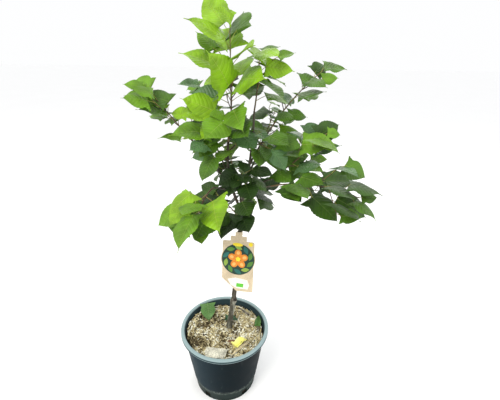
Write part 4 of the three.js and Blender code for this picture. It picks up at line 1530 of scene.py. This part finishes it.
@dataclass
class Pot:
    """A round tapered pot with a rolled rim, a narrower foot and drain holes, in millimetres."""

    foot_radius: float = 100.0
    foot_top: float = 103.8
    foot_step: float = 2.6
    foot_height: float = 41.0
    height: float = 225.0
    rim_radius: float = 140.0
    rim_round: float = 4.2
    lip_height: float = 13.0
    lip_overhang: float = 8.0
    wall: float = 2.6
    floor: float = 3.0
    segments: int = 144
    holes: int = 5
    first_hole: float = -121.0
    hole_size: tuple[float, float] = (14.2, 20.0)
    hole_span: tuple[float, float] = (4.5, 24.0)
    hole_round: float = 2.2

    def radius(self, height: float) -> float:
        """Returns the outer wall's radius at a height between foot and lip."""
        share = (height - self.foot_height) / (self.height - self.foot_height)
        return lerp(self.foot_top + self.foot_step, self.rim_radius - self.lip_overhang, share)

    def profile(self) -> Outline:
        """Lays out the half section from the underside, up the outside and down the inside.

        Returns:
            Its corners, each a radius and a height.
        """
        top, rim, bead = self.height, self.rim_radius, self.rim_round
        lip = top - self.lip_height
        ledge, step = self.foot_height, self.foot_step
        outside = [(97.5, 0.0), (99.2, 0.5), (self.foot_radius, 1.6), (100.2, 3.2)]
        outside += [(self.foot_top - 0.1, ledge - step - 0.6)]
        outside += [(self.foot_top + 0.9, ledge - step * 0.7), (self.radius(ledge) - 0.3, ledge - 0.5)]
        outside += [(self.radius(h), h) for h in (ledge + 1, 90, 140, 185, lip - 4.5)]
        outside += [(self.radius(lip) + 1.4, lip - 1.2), (rim - 2.2, lip)]
        outside += [(rim - 0.7, lip + 0.5), (rim, lip + 1.9)]
        for a in np.linspace(0, math.pi / 2, 7):
            outside.append((rim + bead * (math.cos(a) - 1), top + bead * (math.sin(a) - 1)))
        inner_top = self.radius(top) - self.wall
        inside = [(rim - 7.5, top - 0.1), (inner_top + 1.6, top - 0.7), (inner_top + 0.4, top - 2.0)]
        inside += [(self.radius(h) - self.wall, h) for h in (top - 4, 190, 140, 90, ledge)]
        inside += [(self.foot_top - self.wall, ledge - step), (self.foot_radius - self.wall, self.floor)]
        return outside + inside

    def build(self) -> Piece:
        """Builds the pot by drawing a disc up its own half section.

        Returns:
            The pot.
        """
        profile = self.profile()
        radius, height = profile[0]
        pick()
        bpy.ops.mesh.primitive_circle_add(
            vertices=self.segments, radius=radius * MM, fill_type="NGON", location=(0, 0, height * MM)
        )
        pot = named("nursery_pot")
        settle()
        bpy.ops.object.mode_set(mode="EDIT")
        bpy.ops.mesh.select_all(action="SELECT")
        for (r0, z0), (r1, z1) in zip(profile, profile[1:]):
            bpy.ops.mesh.extrude_region_move(TRANSFORM_OT_translate={"value": (0, 0, (z1 - z0) * MM)})
            bpy.ops.transform.resize(value=(r1 / r0, r1 / r0, 1), center_override=(0, 0, z1 * MM))
        bpy.ops.mesh.select_all(action="SELECT")
        bpy.ops.mesh.normals_make_consistent(inside=False)
        bpy.ops.object.mode_set(mode="OBJECT")
        self._cut_holes(pot)
        pick(pot)
        smoothen(32)
        pot.data.materials.append(PotFinish().build("pot_plastic"))
        return pot

    def _cut_holes(self, pot: Piece) -> None:
        """Cuts the drain holes through the wall of the foot.

        Args:
            pot: The pot.
        """
        cutters = []
        low, high = self.hole_span
        for k in range(self.holes):
            turn = math.radians(self.first_hole + 360 / self.holes * k)
            place = (heading(math.degrees(turn), 0) * self.foot_radius + UP * (low + high) / 2) * MM
            pick()
            bpy.ops.mesh.primitive_cube_add(size=1, location=place, rotation=(0, 0, turn))
            cutter = bpy.context.object
            cutter.scale = Vector((*self.hole_size, high - low)) * MM
            bevel = cutter.modifiers.new("round", "BEVEL")
            bevel.width, bevel.segments = self.hole_round * MM, 3
            cutters.append(cutter)
        pick(*cutters)
        settle()
        for cutter in cutters:
            bpy.context.view_layer.objects.active = cutter
            bpy.ops.object.modifier_apply(modifier="round")
        bpy.ops.object.join()
        punch = bpy.context.object
        cut = pot.modifiers.new("holes", "BOOLEAN")
        cut.operation, cut.solver, cut.object = "DIFFERENCE", "EXACT", punch
        pick(pot)
        bpy.ops.object.modifier_apply(modifier="holes")
        bpy.data.objects.remove(punch, do_unlink=True)


@dataclass(frozen=True)
class ChipKind:
    """A kind of mulch piece: the spans of its length, width and depth in millimetres."""

    length: tuple[float, float]
    width: tuple[float, float]
    depth: tuple[float, float]

    def size(self, rng: np.random.Generator) -> list[float]:
        """Returns a drawn length, width and depth."""
        return [rng.uniform(*span) for span in (self.length, self.width, self.depth)]


@dataclass
class Mulch:
    """The filling of wood fibre: a rough bed, and loose chips and fibres strewn over it.

    Lengths are in millimetres. A clump is the scale, the height and the layer of a noise.
    """

    top: float = 190.0
    sunk: float = 2.6
    level_radius: float = 40.0
    bank_radius: float = 104.0
    bank: float = 9.0
    left_bank: float = 10.0
    left_from: float = 70.0
    clumps: tuple[tuple[float, float, float], ...] = ((0.026, 4.0, 3.1), (0.07, 4.6, 5.9), (0.2, 1.6, 8.7))
    edge: float = 125.2
    around: int = 120
    rings: int = 44
    pieces: int = 4200
    fibre_share: float = 0.55
    fibre: ChipKind = ChipKind((10, 28), (1.3, 2.7), (0.8, 1.6))
    chip: ChipKind = ChipKind((7, 16), (3.0, 6.4), (1.0, 2.4))
    loose: float = 5.0
    wall_gap: float = 4.0
    wall_zone: float = 16.0
    mixture: tuple[float, ...] = (0.3, 0.2, 0.26, 0.24)
    # How the share of each colour shifts where the mulch is browner, as damper mulch and as painted shade.
    shade_and_damp_shift: tuple[float, ...] = (-1, -1.3, 0, 2.2)
    seed: int = 77

    def height(self, x: float, y: float) -> float:
        """Finds the bed's height at a place, with its banks and hollows.

        Args:
            x: The place's distance to the right of the pot's axis.
            y: Its distance behind the axis.

        Returns:
            The height over the pot's underside.
        """
        slope = (math.hypot(x, y) - self.level_radius) / (self.bank_radius - self.level_radius)
        left = self.left_bank * min(1.0, max(0.0, (-x - self.left_from) / (self.edge - self.left_from)))
        level = self.top - self.sunk + self.bank * min(1.0, max(0.0, slope)) + left
        for scale, height, layer in self.clumps:
            level += noise.noise(Vector((x * scale, y * scale, layer))) * height
        return level

    def bed(self, pot: Pot) -> Piece:
        """Builds the bed, a closed body that fills the pot up to its rough top, nearly black as soil and
        as painted shade in the gaps between the chips.

        Args:
            pot: The pot.

        Returns:
            The bed.
        """
        bundle = Bundle("mulch_bed_painted_shade")
        rings = [(self.edge * t, None) for t in np.linspace(0.02, 1, self.rings) ** 0.85]
        rings += [(pot.radius(h) - pot.wall - 0.4, h) for h in (176, 120, 60, 42)]
        rings += [(pot.foot_top - pot.wall - 0.9, 38.0), (pot.foot_radius - 4, 4.0)]
        points = []
        for radius, level in rings:
            for k in range(self.around):
                a = 2 * math.pi * k / self.around
                x, y = radius * math.cos(a), radius * math.sin(a)
                points.append((x, y, self.height(x, y) if level is None else level))
        faces = []
        for near in range(0, len(points) - self.around, self.around):
            far = near + self.around
            for k in range(self.around):
                m = (k + 1) % self.around
                faces.append((near + k, far + k, far + m, near + m))
        faces.append(tuple(range(self.around)))
        faces.append(tuple(reversed(range(len(points) - self.around, len(points)))))
        bundle.add(np.array(points), faces)
        return bundle.make([SHADE_DARK_BED.build("mulch_bed_painted_shade")])

    def chips(self) -> list[Piece]:
        """Strews chips and fibres over the bed, browner in broad patches and towards the left, partly as
        damper mulch and partly as painted shade on the left side.

        Returns:
            The pieces' meshes, one for each colour.
        """
        rng = np.random.default_rng(self.seed)
        bundles = {name: Bundle(f"mulch_{name}") for name in MULCH_FINISHES}
        for _ in range(self.pieces):
            radius = (self.edge - self.wall_gap) * math.sqrt(rng.random())
            angle = rng.random() * math.tau
            x, y = radius * math.cos(angle), radius * math.sin(angle)
            size = (self.fibre if rng.random() < self.fibre_share else self.chip).size(rng)
            place = np.array((x, y, self.height(x, y) + rng.uniform(0.0, self.loose)))
            tilt, yaw, roll = rng.normal(0, 0.34), rng.uniform(0, math.tau), rng.normal(0, 0.4)
            if radius > self.edge - self.wall_zone:
                yaw = angle + math.pi / 2 + float(np.clip(rng.normal(0, 0.2), -0.25, 0.25))
            lean = Matrix.Rotation(tilt, 3, "Y") @ Matrix.Rotation(roll, 3, "X")
            turn = Matrix.Rotation(yaw, 3, "Z") @ lean
            # More brown pieces in patches and towards the left: damper mulch, and painted shade on the left
            # side.
            shade_and_damp = noise.noise(Vector((x * 0.03, y * 0.03, 1.7))) - x * 0.0036
            weights = np.clip(np.array(self.mixture) * (1 + shade_and_damp * np.array(self.shade_and_damp_shift)), 0.02, None)
            name = list(bundles)[rng.choice(len(bundles), p=weights / weights.sum())]
            bundles[name].add(*splinter(rng, *size, np.array(turn), place))
        return [
            bundle.make([MULCH_FINISHES[name].build(bundle.name)], smooth=20)
            for name, bundle in bundles.items()
        ]


def splinter(
    rng: np.random.Generator, length: float, width: float, depth: float, turn: np.ndarray, place: np.ndarray
) -> Solid:
    """Makes one splinter: a bar of three rings with ragged, drawn-in ends.

    Args:
        rng: The draws for its ragged shape.
        length: Its length.
        width: Its width.
        depth: Its thickness.
        turn: Its rotation.
        place: Where its middle lies.

    Returns:
        Its corners, and its faces.
    """
    rings = []
    bow = rng.uniform(-0.08, 0.08) * length
    waist = (rng.uniform(-0.15, 0.15), 1.0)
    sections = ((-0.5, rng.uniform(0.25, 0.9)), waist, (0.5, rng.uniform(0.2, 0.8)))
    for share, fill in sections:
        for side, over in ((1, 1), (-1, 1), (-1, -1), (1, -1)):
            ragged = rng.uniform(-0.08, 0.08) * length if abs(share) == 0.5 else 0
            aside = side * width / 2 * fill + bow * (1 - 4 * share * share)
            rings.append((share * length + ragged, aside, over * depth / 2 * fill))
    faces = [(0, 1, 2, 3), (11, 10, 9, 8)]
    for r in (0, 4):
        faces += [(r + k, r + 4 + k, r + 4 + (k + 1) % 4, r + (k + 1) % 4) for k in range(4)]
    return np.array(rings) @ turn.T + place, faces


def placed(ring: Outline, x: float, y: float, turn: float) -> Outline:
    """Returns an outline turned by degrees and moved to a place."""
    t = math.radians(turn)
    return [(x + u * math.cos(t) - v * math.sin(t), y + u * math.sin(t) + v * math.cos(t)) for u, v in ring]


def oval(x: float, y: float, rx: float, ry: float, turn: float = 0, count: int = 40) -> Outline:
    """Returns the outline of an oval of half axes rx and ry, turned by degrees."""
    ring = [(rx * math.cos(a), ry * math.sin(a)) for a in np.linspace(0, math.tau, count, endpoint=False)]
    return placed(ring, x, y, turn)


def leaf_shape(x: float, y: float, length: float, turn: float) -> Outline:
    """Returns the outline of a pointed leaf, turned by degrees."""
    upper = [(length * (s - 0.5), 0.24 * length * math.sin(math.pi * s)) for s in np.linspace(0, 1, 12)]
    return placed(upper + [(u, -v) for u, v in reversed(upper[1:-1])], x, y, turn)


@dataclass(frozen=True)
class PrintShape:
    """One shape of the print: its name, its ink, its lift off the card and its outline."""

    name: str
    ink: Ink
    lift: float
    outline: Outline


@dataclass
class Tag:
    """The card tag: a tall kraft card with a round bulge, a band round the trunk and a plain print.

    Lengths are in millimetres and angles in degrees. The card's own plane has its origin at the
    top of the neck.
    """

    width: float = 94
    body_height: float = 158
    shoulder_width: float = 48
    shoulder_height: float = 15
    neck_width: float = 20
    neck_height: float = 12
    bulge_radius: float = 51
    bulge_height: float = 102
    cut_width: float = 45
    cut_height: float = 39
    thickness: float = 0.8
    back: float = 0.1
    edge_round: float = 0.12
    top_height: float = 559
    side_shift: float = -1.3
    swing: float = 11
    turn: float = -8
    band_height: float = 12
    band_thickness: float = 1.0
    band_clear: float = 1.2
    band_round: float = 0.22
    disc_radius: float = 48.5
    wreath_radius: float = 38
    ink_depth: float = 0.12
    ink_step: float = 0.004
    on_card: float = 0.02
    on_disc: float = 0.1
    on_petal: float = 0.18

    def place(self, woody: Woody) -> tuple[Matrix, Vector, float]:
        """Finds where the card hangs.

        Args:
            woody: The limbs, for the trunk's path and radius.

        Returns:
            The card's matrix in millimetres, the band's centre at its top, and its inner radius.
        """
        top = self.top_height - 1
        path = woody.paths[TRUNK.name]
        axis = along(path, (top - path[0].z) / (path[-1].z - path[0].z))[0]
        inner = woody.trunk_radius(top - 190) + self.band_clear
        turn = math.radians(self.turn)
        front = Vector((math.sin(turn), -math.cos(turn), 0))
        side = Vector((math.cos(turn), math.sin(turn), 0))
        hook = axis + front * (inner + self.band_thickness + 0.3) + side * self.side_shift
        place = Matrix.Translation((hook.x, hook.y, self.top_height))
        tilt = Matrix.Rotation(turn, 4, "Z") @ Matrix.Rotation(math.pi / 2 - math.radians(self.swing), 4, "X")
        return place @ tilt, axis, inner

    def foot(self) -> float:
        """Returns the height of the card's lower edge in its own plane."""
        return -self.neck_height - self.shoulder_height - self.body_height

    def outline(self) -> Outline:
        """Lays out the card's outline, with small rounded corners.

        Returns:
            Its corners in its own plane.
        """
        half, shoulder, neck = self.width / 2, self.shoulder_width / 2, self.neck_width / 2
        step, body = -self.neck_height, -self.neck_height - self.shoulder_height
        foot, r = self.foot(), self.bulge_radius
        middle, side = foot + self.bulge_height, math.acos(half / r)
        right = [(r * math.cos(a), middle + r * math.sin(a)) for a in np.linspace(-side, side, 14)]
        right += [(half, body - 5), (half - 1.5, body - 1.5), (half - 5, body), (shoulder, body)]
        right += [(shoulder, step - 2), (shoulder - 2, step), (neck, step), (neck, 0)]
        lower = [(-half, foot + self.cut_height), (-half + self.cut_width, foot)]
        lower += [(half - 3, foot), (half, foot + 3)]
        return lower + right + [(-x, y) for x, y in reversed(right)]

    def sheet(
        self,
        name: str,
        outline: Outline,
        depth: float,
        lift: float,
        place: Matrix,
        material: Material,
    ) -> Piece:
        """Makes a flat piece of the card's plane from a filled outline.

        Args:
            name: The piece's name.
            outline: Its corners in the card's plane.
            depth: Its thickness.
            lift: How far its middle lies in front of the card's plane.
            place: The card's matrix in millimetres.
            material: Its material.

        Returns:
            The piece, its place in its mesh.
        """
        curve = bpy.data.curves.new(name, "CURVE")
        curve.dimensions = "2D"
        curve.fill_mode = "BOTH"
        line = curve.splines.new("POLY")
        line.points.add(len(outline) - 1)
        for spot, (x, y) in zip(line.points, outline):
            spot.co = (x * MM, y * MM, 0, 1)
        line.use_cyclic_u = True
        edge = min(self.edge_round, depth / 3)
        curve.extrude, curve.bevel_depth, curve.bevel_resolution = (depth / 2 - edge) * MM, edge * MM, 1
        curve.offset = -edge * MM
        pick(linked(name, curve))
        bpy.ops.object.convert(target="MESH")
        piece = bpy.context.object
        matrix = place.copy()
        matrix.translation *= MM
        piece.data.transform(matrix @ Matrix.Translation((0, 0, lift * MM)))
        bpy.ops.object.mode_set(mode="EDIT")
        bpy.ops.mesh.select_all(action="SELECT")
        bpy.ops.mesh.remove_doubles(threshold=1e-6)
        bpy.ops.mesh.normals_make_consistent(inside=False)
        bpy.ops.object.mode_set(mode="OBJECT")
        smoothen(30)
        piece.data.materials.append(material)
        return piece

    def print_shapes(self) -> list[PrintShape]:
        """Lays out the print: a blossom in a ring of leaves, a banner, a dot and a plain patch.

        Returns:
            The shapes, from the lowest to the highest.
        """
        foot = self.foot()
        middle = foot + self.bulge_height
        centre = middle - 1
        disc = oval(0, centre, self.disc_radius, self.disc_radius, 0, 72)
        shapes = [PrintShape("disc", Ink.NIGHT, self.on_card, disc)]
        for k in range(10):
            turn = 18 + 36 * k
            go = heading(turn, 0) * self.wreath_radius
            outline = leaf_shape(go.x, centre + go.y, 26, turn + 62)
            ink = (Ink.MEADOW, Ink.TEAL, Ink.LIME)[k % 3]
            shapes.append(PrintShape(f"leaf_{k}", ink, self.on_disc, outline))
        for k in range(5):
            turn = 90 + 72 * k
            go = heading(turn, 0)
            petal = oval(18 * go.x, middle + 18 * go.y, 12, 10.4, turn)
            glow = oval(20 * go.x, middle + 20 * go.y, 5.8, 4.8, turn)
            shapes.append(PrintShape(f"petal_{k}", Ink.ORANGE, self.on_disc, petal))
            shapes.append(PrintShape(f"glow_{k}", Ink.PEACH, self.on_petal, glow))
        patch = [(-20, 18), (0, 9), (32, 8), (36, 22), (30, 38), (-6, 43), (-30, 37)]
        square = [(-3, 14), (18, 13), (19, 25), (-2, 26)]
        return shapes + [
            PrintShape("heart", Ink.YELLOW, self.on_petal, oval(0, middle, 7, 7)),
            PrintShape("banner", Ink.YELLOW, self.on_disc, oval(-2, middle + 45, 15, 5.2, -4)),
            PrintShape("dot", Ink.YELLOW, self.on_card, oval(36, middle + 48, 6.2, 6.2)),
            PrintShape("patch", Ink.WHITE, self.on_card, placed(patch, 0, foot, 0)),
            PrintShape("square", Ink.GRASS, self.on_disc, placed(square, 0, foot, 0)),
        ]

    def build(self, woody: Woody) -> tuple[Piece, Piece, Piece]:
        """Builds the tag.

        Args:
            woody: The limbs that it hangs on.

        Returns:
            The card, its print, and the band.
        """
        place, axis, inner = self.place(woody)
        kraft = KRAFT.build("kraft_card")
        middle = self.back + self.thickness / 2
        card = self.sheet("tag_card", self.outline(), self.thickness, middle, place, kraft)
        inks = {ink: mottled(PRINTED, ink.value, 0.1).build(f"ink_{ink.name.lower()}") for ink in Ink}
        front = self.back + self.thickness
        printed = []
        for layer, shape in enumerate(self.print_shapes()):
            depth = self.ink_depth + self.ink_step * layer
            cut = (shape.outline, depth, front + shape.lift, place, inks[shape.ink])
            printed.append(self.sheet(f"print_{shape.name}", *cut))
        pick(*printed)
        bpy.ops.object.join()
        return card, named("tag_print"), self.band(axis, inner, kraft)

    def band(self, axis: Vector, inner: float, material: Material) -> Piece:
        """Builds the band round the trunk from a thin tube with a wall.

        Args:
            axis: The trunk's centre at the card's top.
            inner: The band's inner radius.
            material: Its material.

        Returns:
            The band.
        """
        middle = Vector((axis.x, axis.y, self.top_height - 1 - self.band_height / 2)) * MM
        size = {"radius": inner * MM, "depth": self.band_height * MM, "location": middle}
        pick()
        bpy.ops.mesh.primitive_cylinder_add(vertices=72, end_fill_type="NOTHING", **size)
        band = named("tag_band")
        settle()
        wall = band.modifiers.new("wall", "SOLIDIFY")
        wall.thickness, wall.offset = self.band_thickness * MM, 1.0
        rounding = band.modifiers.new("edges", "BEVEL")
        rounding.width, rounding.segments = self.band_round * MM, 2
        for name in ("wall", "edges"):
            bpy.ops.object.modifier_apply(modifier=name)
        smoothen(35)
        band.data.materials.append(material)
        return band


@dataclass(frozen=True)
class Fallen:
    """One fallen leaf: its solid's node, place, direction, length, rise, fold and finish."""

    node: str
    x: float
    y: float
    azimuth: float
    length: float
    rise: float
    fold: float
    finish: LeafFinish


@dataclass(frozen=True)
class Sliver:
    """A sliver of a dry scrap: its place, its azimuth, its size, its lean in radians and its lift."""

    x: float
    y: float
    azimuth: float
    size: tuple[float, float, float]
    lean: float
    lift: float


@dataclass(frozen=True)
class Scrap:
    """A dry scrap: its name, its finish and the slivers that it is torn into."""

    name: str
    finish: MottledFinish
    slivers: tuple[Sliver, ...]


@dataclass
class Litter:
    """What lies on the mulch: fallen leaves, dry scraps, a bleached chip of wood and a bit of twig.

    Lengths are in millimetres and angles in degrees.
    """

    leaves: tuple[Fallen, ...] = (
        Fallen("fallen_leaf_left", -67, 90, -79, 65, -30, 10, FALLEN_GREEN),
        Fallen("fallen_leaf_back", -3, 52, 0, 50, 2, 50, FALLEN_DARK),
        Fallen("fallen_leaf_right", 107, 22, 82, 38, 48, 45, FALLEN_GREEN),
        Fallen("fallen_leaf_yellow", 34, -71, 45, 60, 3, 56, WILTED),
    )
    tail: Scrap = Scrap(
        "dry_tail",
        DRY_BROWN,
        (Sliver(28, -46, -8, (28, 10, 1.2), 0.3, 9), Sliver(30, -54, 30, (20, 9, 1.2), -0.5, 10)),
    )
    husk: Scrap = Scrap(
        "dry_husk",
        DRY_BEIGE,
        (
            Sliver(57, -68, 40, (46, 8, 1.2), 0.9, 10),
            Sliver(44, -82, 46, (44, 7, 1.2), 0.5, 9),
            Sliver(67, -58, 48, (28, 7, 1.0), 1.0, 12),
        ),
    )
    ground: float = 190
    stalk: float = 6
    curl: float = 0.08
    rest: float = 0.4
    maker: BladeMaker = BladeMaker(lobe=0.0, wave=0.05, thickness=0.5)
    chip_half: tuple[float, float, float] = (29.5, 18.5, 5.0)
    chip_turn: float = -6
    chip_squareness: float = 0.4
    twig: tuple[tuple[float, float], ...] = ((40, 101), (58, 88), (78, 70))
    twig_lift: float = 8.6
    seed: int = 5

    def fallen(self, spec: Fallen) -> Piece:
        """Builds one fallen leaf where its solid lies.

        Args:
            spec: The leaf.

        Returns:
            The leaf.
        """
        out, run = heading(spec.azimuth, 0), heading(spec.azimuth, spec.rise)
        across = run.cross(UP).normalized()
        foot = Vector((spec.x, spec.y, self.ground))
        fold = math.radians(spec.fold)
        node, face = foot - out * self.stalk, across.cross(run)
        leaf = Leaf(node, foot, out, run, face, across, spec.length, fold, self.curl)
        bundle = Bundle(f"leaf_{spec.node}")
        self.maker.add(bundle, leaf, spec.x)
        bundle.add(*tube(refined(stalk_path(leaf, 0), 6), taper(0.9, 0.6), 6), 1)
        piece = bundle.make(spec.finish.both(spec.node), "blade", 60)
        low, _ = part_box(spec.node)
        shift = low.z - min(v.co.z for v in piece.data.vertices) + self.rest * MM
        piece.data.transform(Matrix.Translation((0, 0, shift)))
        return piece

    def scraps(self, mulch: Mulch) -> list[Piece]:
        """Builds the torn brown tail and the dry husk beside the yellow leaf.

        Args:
            mulch: The mulch that they lie on.

        Returns:
            The two scraps.
        """
        rng = np.random.default_rng(self.seed)
        pieces = []
        for scrap in (self.tail, self.husk):
            bundle = Bundle(scrap.name)
            for sliver in scrap.slivers:
                spin = Matrix.Rotation(math.radians(sliver.azimuth), 3, "Z")
                turn = np.array(spin @ Matrix.Rotation(sliver.lean, 3, "X"))
                place = np.array((sliver.x, sliver.y, mulch.height(sliver.x, sliver.y) + sliver.lift))
                bundle.add(*splinter(rng, *sliver.size, turn, place))
            pieces.append(bundle.make([scrap.finish.build(scrap.name)], smooth=50))
        return pieces

    def chunk(self) -> Piece:
        """Builds the bleached chip of wood from a rough pebble, flattened and torn at its ends.

        Returns:
            The chip.
        """
        low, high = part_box("wood_chip")
        half = Vector(self.chip_half) * MM
        pick()
        bpy.ops.mesh.primitive_ico_sphere_add(subdivisions=5, radius=1, location=(0, 0, 0))
        chunk = named("bleached_chip")
        chunk.rotation_euler = (0, 0, math.radians(self.chip_turn))
        for corner in chunk.data.vertices:
            p = corner.co.copy()
            boxed = Vector([math.copysign(abs(c) ** self.chip_squareness, c) for c in p])
            torn = 1 + 0.24 * noise.noise(p * 2.1) + 0.14 * noise.noise(Vector((p.x * 3, p.y * 10, p.z * 10)))
            corner.co = boxed * half * torn
        chunk.location = ((low.x + high.x) / 2, (low.y + high.y) / 2, low.z + half.z)
        settle()
        smoothen(50)
        chunk.data.materials.append(BLEACHED_WOOD.build("bleached_wood"))
        return chunk

    def stick(self, mulch: Mulch) -> Piece:
        """Builds the bit of dead twig behind the trunk.

        Args:
            mulch: The mulch that it lies on.

        Returns:
            The twig.
        """
        path = refined([Vector((x, y, mulch.height(x, y) + self.twig_lift)) for x, y in self.twig], 26)
        bundle = Bundle("dead_twig")
        bundle.add(*tube(path, taper(2.2, 3.6), 12, grain((0.5, 0.4))))
        return bundle.make([DEAD_BARK.build("dead_twig")])


@dataclass(frozen=True)
class Lamp:
    """A soft square lamp: its place, aim and side in metres, its power in watts and its colour."""

    name: str
    place: tuple[float, float, float]
    aim: tuple[float, float, float]
    size: float
    power: float
    colour: tuple[float, float, float]

    def build(self) -> None:
        """Adds the lamp to the scene."""
        lamp = bpy.data.lights.new(self.name, "AREA")
        lamp.size, lamp.energy, lamp.color = self.size, self.power, self.colour
        holder = linked(self.name, lamp)
        holder.location = self.place
        holder.rotation_euler = (Vector(self.aim) - Vector(self.place)).to_track_quat("-Z", "Y").to_euler()


@dataclass(frozen=True)
class FloorFinish(Finish):
    """The pale floor's finish: two tones that are nearly the same."""

    tones: tuple[Colour, Colour] = (rgb(253, 253, 253), rgb(254, 254, 254))

    def lay_out(self, recipe: Recipe) -> None:
        """Lays out the broad patches of the floor.

        Args:
            recipe: The material's recipe.
        """
        patches = recipe.window(recipe.spots(1.2, 2), 0.3, 0.7)
        recipe.shade("floor", recipe.mix(patches, *self.tones), 0.9, None, Specular_IOR_Level=0.1)


@dataclass
class Studio:
    """A pale floor, soft light and the camera at the photograph's viewing angle."""

    floor_size: float = 60.0
    floor_height: float = -0.0004
    lamps: tuple[Lamp, ...] = (
        Lamp("key", (-1.5, -1.9, 2.9), (0.05, 0.0, 0.75), 1.6, 62, (1.0, 0.97, 0.9)),
        Lamp("fill", (2.4, -1.2, 1.6), (0.05, 0.0, 0.7), 2.0, 18, (0.92, 0.96, 1.0)),
        Lamp("back", (0.6, 2.4, 2.4), (0.05, 0.0, 0.8), 2.0, 22, (1.0, 0.99, 0.95)),
    )
    sky: Colour = (0.99, 0.994, 1.0, 1.0)
    eye: tuple[float, float, float] = (0.075, -0.817, 1.027)
    pitch: float = 23.7
    roll: float = 0.9
    lens: float = 23.76

    def build(self) -> None:
        """Builds the floor, the lamps, the sky and the camera."""
        pick()
        bpy.ops.mesh.primitive_plane_add(size=self.floor_size, location=(0, 0, self.floor_height))
        floor = bpy.context.object
        floor.name = "studio_floor"
        floor.data.materials.append(FloorFinish().build("pale_floor"))
        for lamp in self.lamps:
            lamp.build()
        world = bpy.data.worlds.new("soft_sky")
        world.use_nodes = True
        sky = world.node_tree.nodes["Background"]
        sky.inputs["Color"].default_value = self.sky
        sky.inputs["Strength"].default_value = 1.0
        bpy.context.scene.world = world
        bpy.context.scene.view_settings.view_transform = "Standard"
        self._camera()

    def _camera(self) -> None:
        """Adds the camera and makes it the scene's own."""
        lens = bpy.data.cameras.new("camera")
        lens.sensor_width, lens.lens = 36, self.lens
        lens.clip_start = 0.05
        camera = linked("camera", lens)
        down = Matrix.Rotation(math.radians(90 - self.pitch), 4, "X")
        aim = down @ Matrix.Rotation(math.radians(self.roll), 4, "Z")
        camera.matrix_world = Matrix.Translation(self.eye) @ aim
        bpy.context.scene.camera = camera


def stand_for(piece: Piece, slot: str, *nodes: str) -> None:
    """Lets a piece ride on the tree and stand for the named solids.

    Args:
        piece: The piece.
        slot: The record's material slot. Not used.
        nodes: The solids that it stands for.
    """
    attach(piece, "root")
    if nodes:
        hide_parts(*nodes)
    LOG.info("%s: %d faces", piece.name, len(piece.data.polygons))


def main() -> None:
    """Builds the tree, its pot and the studio, and reports each piece."""
    logging.basicConfig(level=logging.INFO, format="%(name)s: %(message)s")
    Studio().build()
    pot, mulch, woody, tag, litter, foliage = Pot(), Mulch(), Woody(), Tag(), Litter(), Foliage()
    stand_for(pot.build(), "pot", "pot")
    stand_for(mulch.bed(pot), "mulch", "mulch")
    for piece in mulch.chips():
        stand_for(piece, "mulch")
    woody.lay_out()
    stand_for(woody.build(), "bark", *(limb.name for limb in LIMBS))
    card, picture, band = tag.build(woody)
    stand_for(card, "card", "label_card")
    stand_for(picture, "card")
    stand_for(band, "card", "label_band")
    for spec in litter.leaves:
        stand_for(litter.fallen(spec), spec.finish.slot, spec.node)
    for piece in litter.scraps(mulch):
        stand_for(piece, "wood_chip")
    stand_for(litter.chunk(), "wood_chip", "wood_chip")
    stand_for(litter.stick(mulch), "bark")
    for mass in MASSES:
        foliage.grow(mass, woody.paths[mass.on])
    for piece, slot in foliage.build():
        stand_for(piece, slot, *(mass.name for mass in MASSES))
    LOG.info("%d leaves stand in the masses", foliage.kept)


def plain(bounds: object) -> list:
    """Returns the corners of a box as plain lists of numbers."""
    return [[round(float(c), 5) for c in corner] for corner in bounds]


if __name__ == "__main__":
    main()
    bpy.context.view_layer.update()
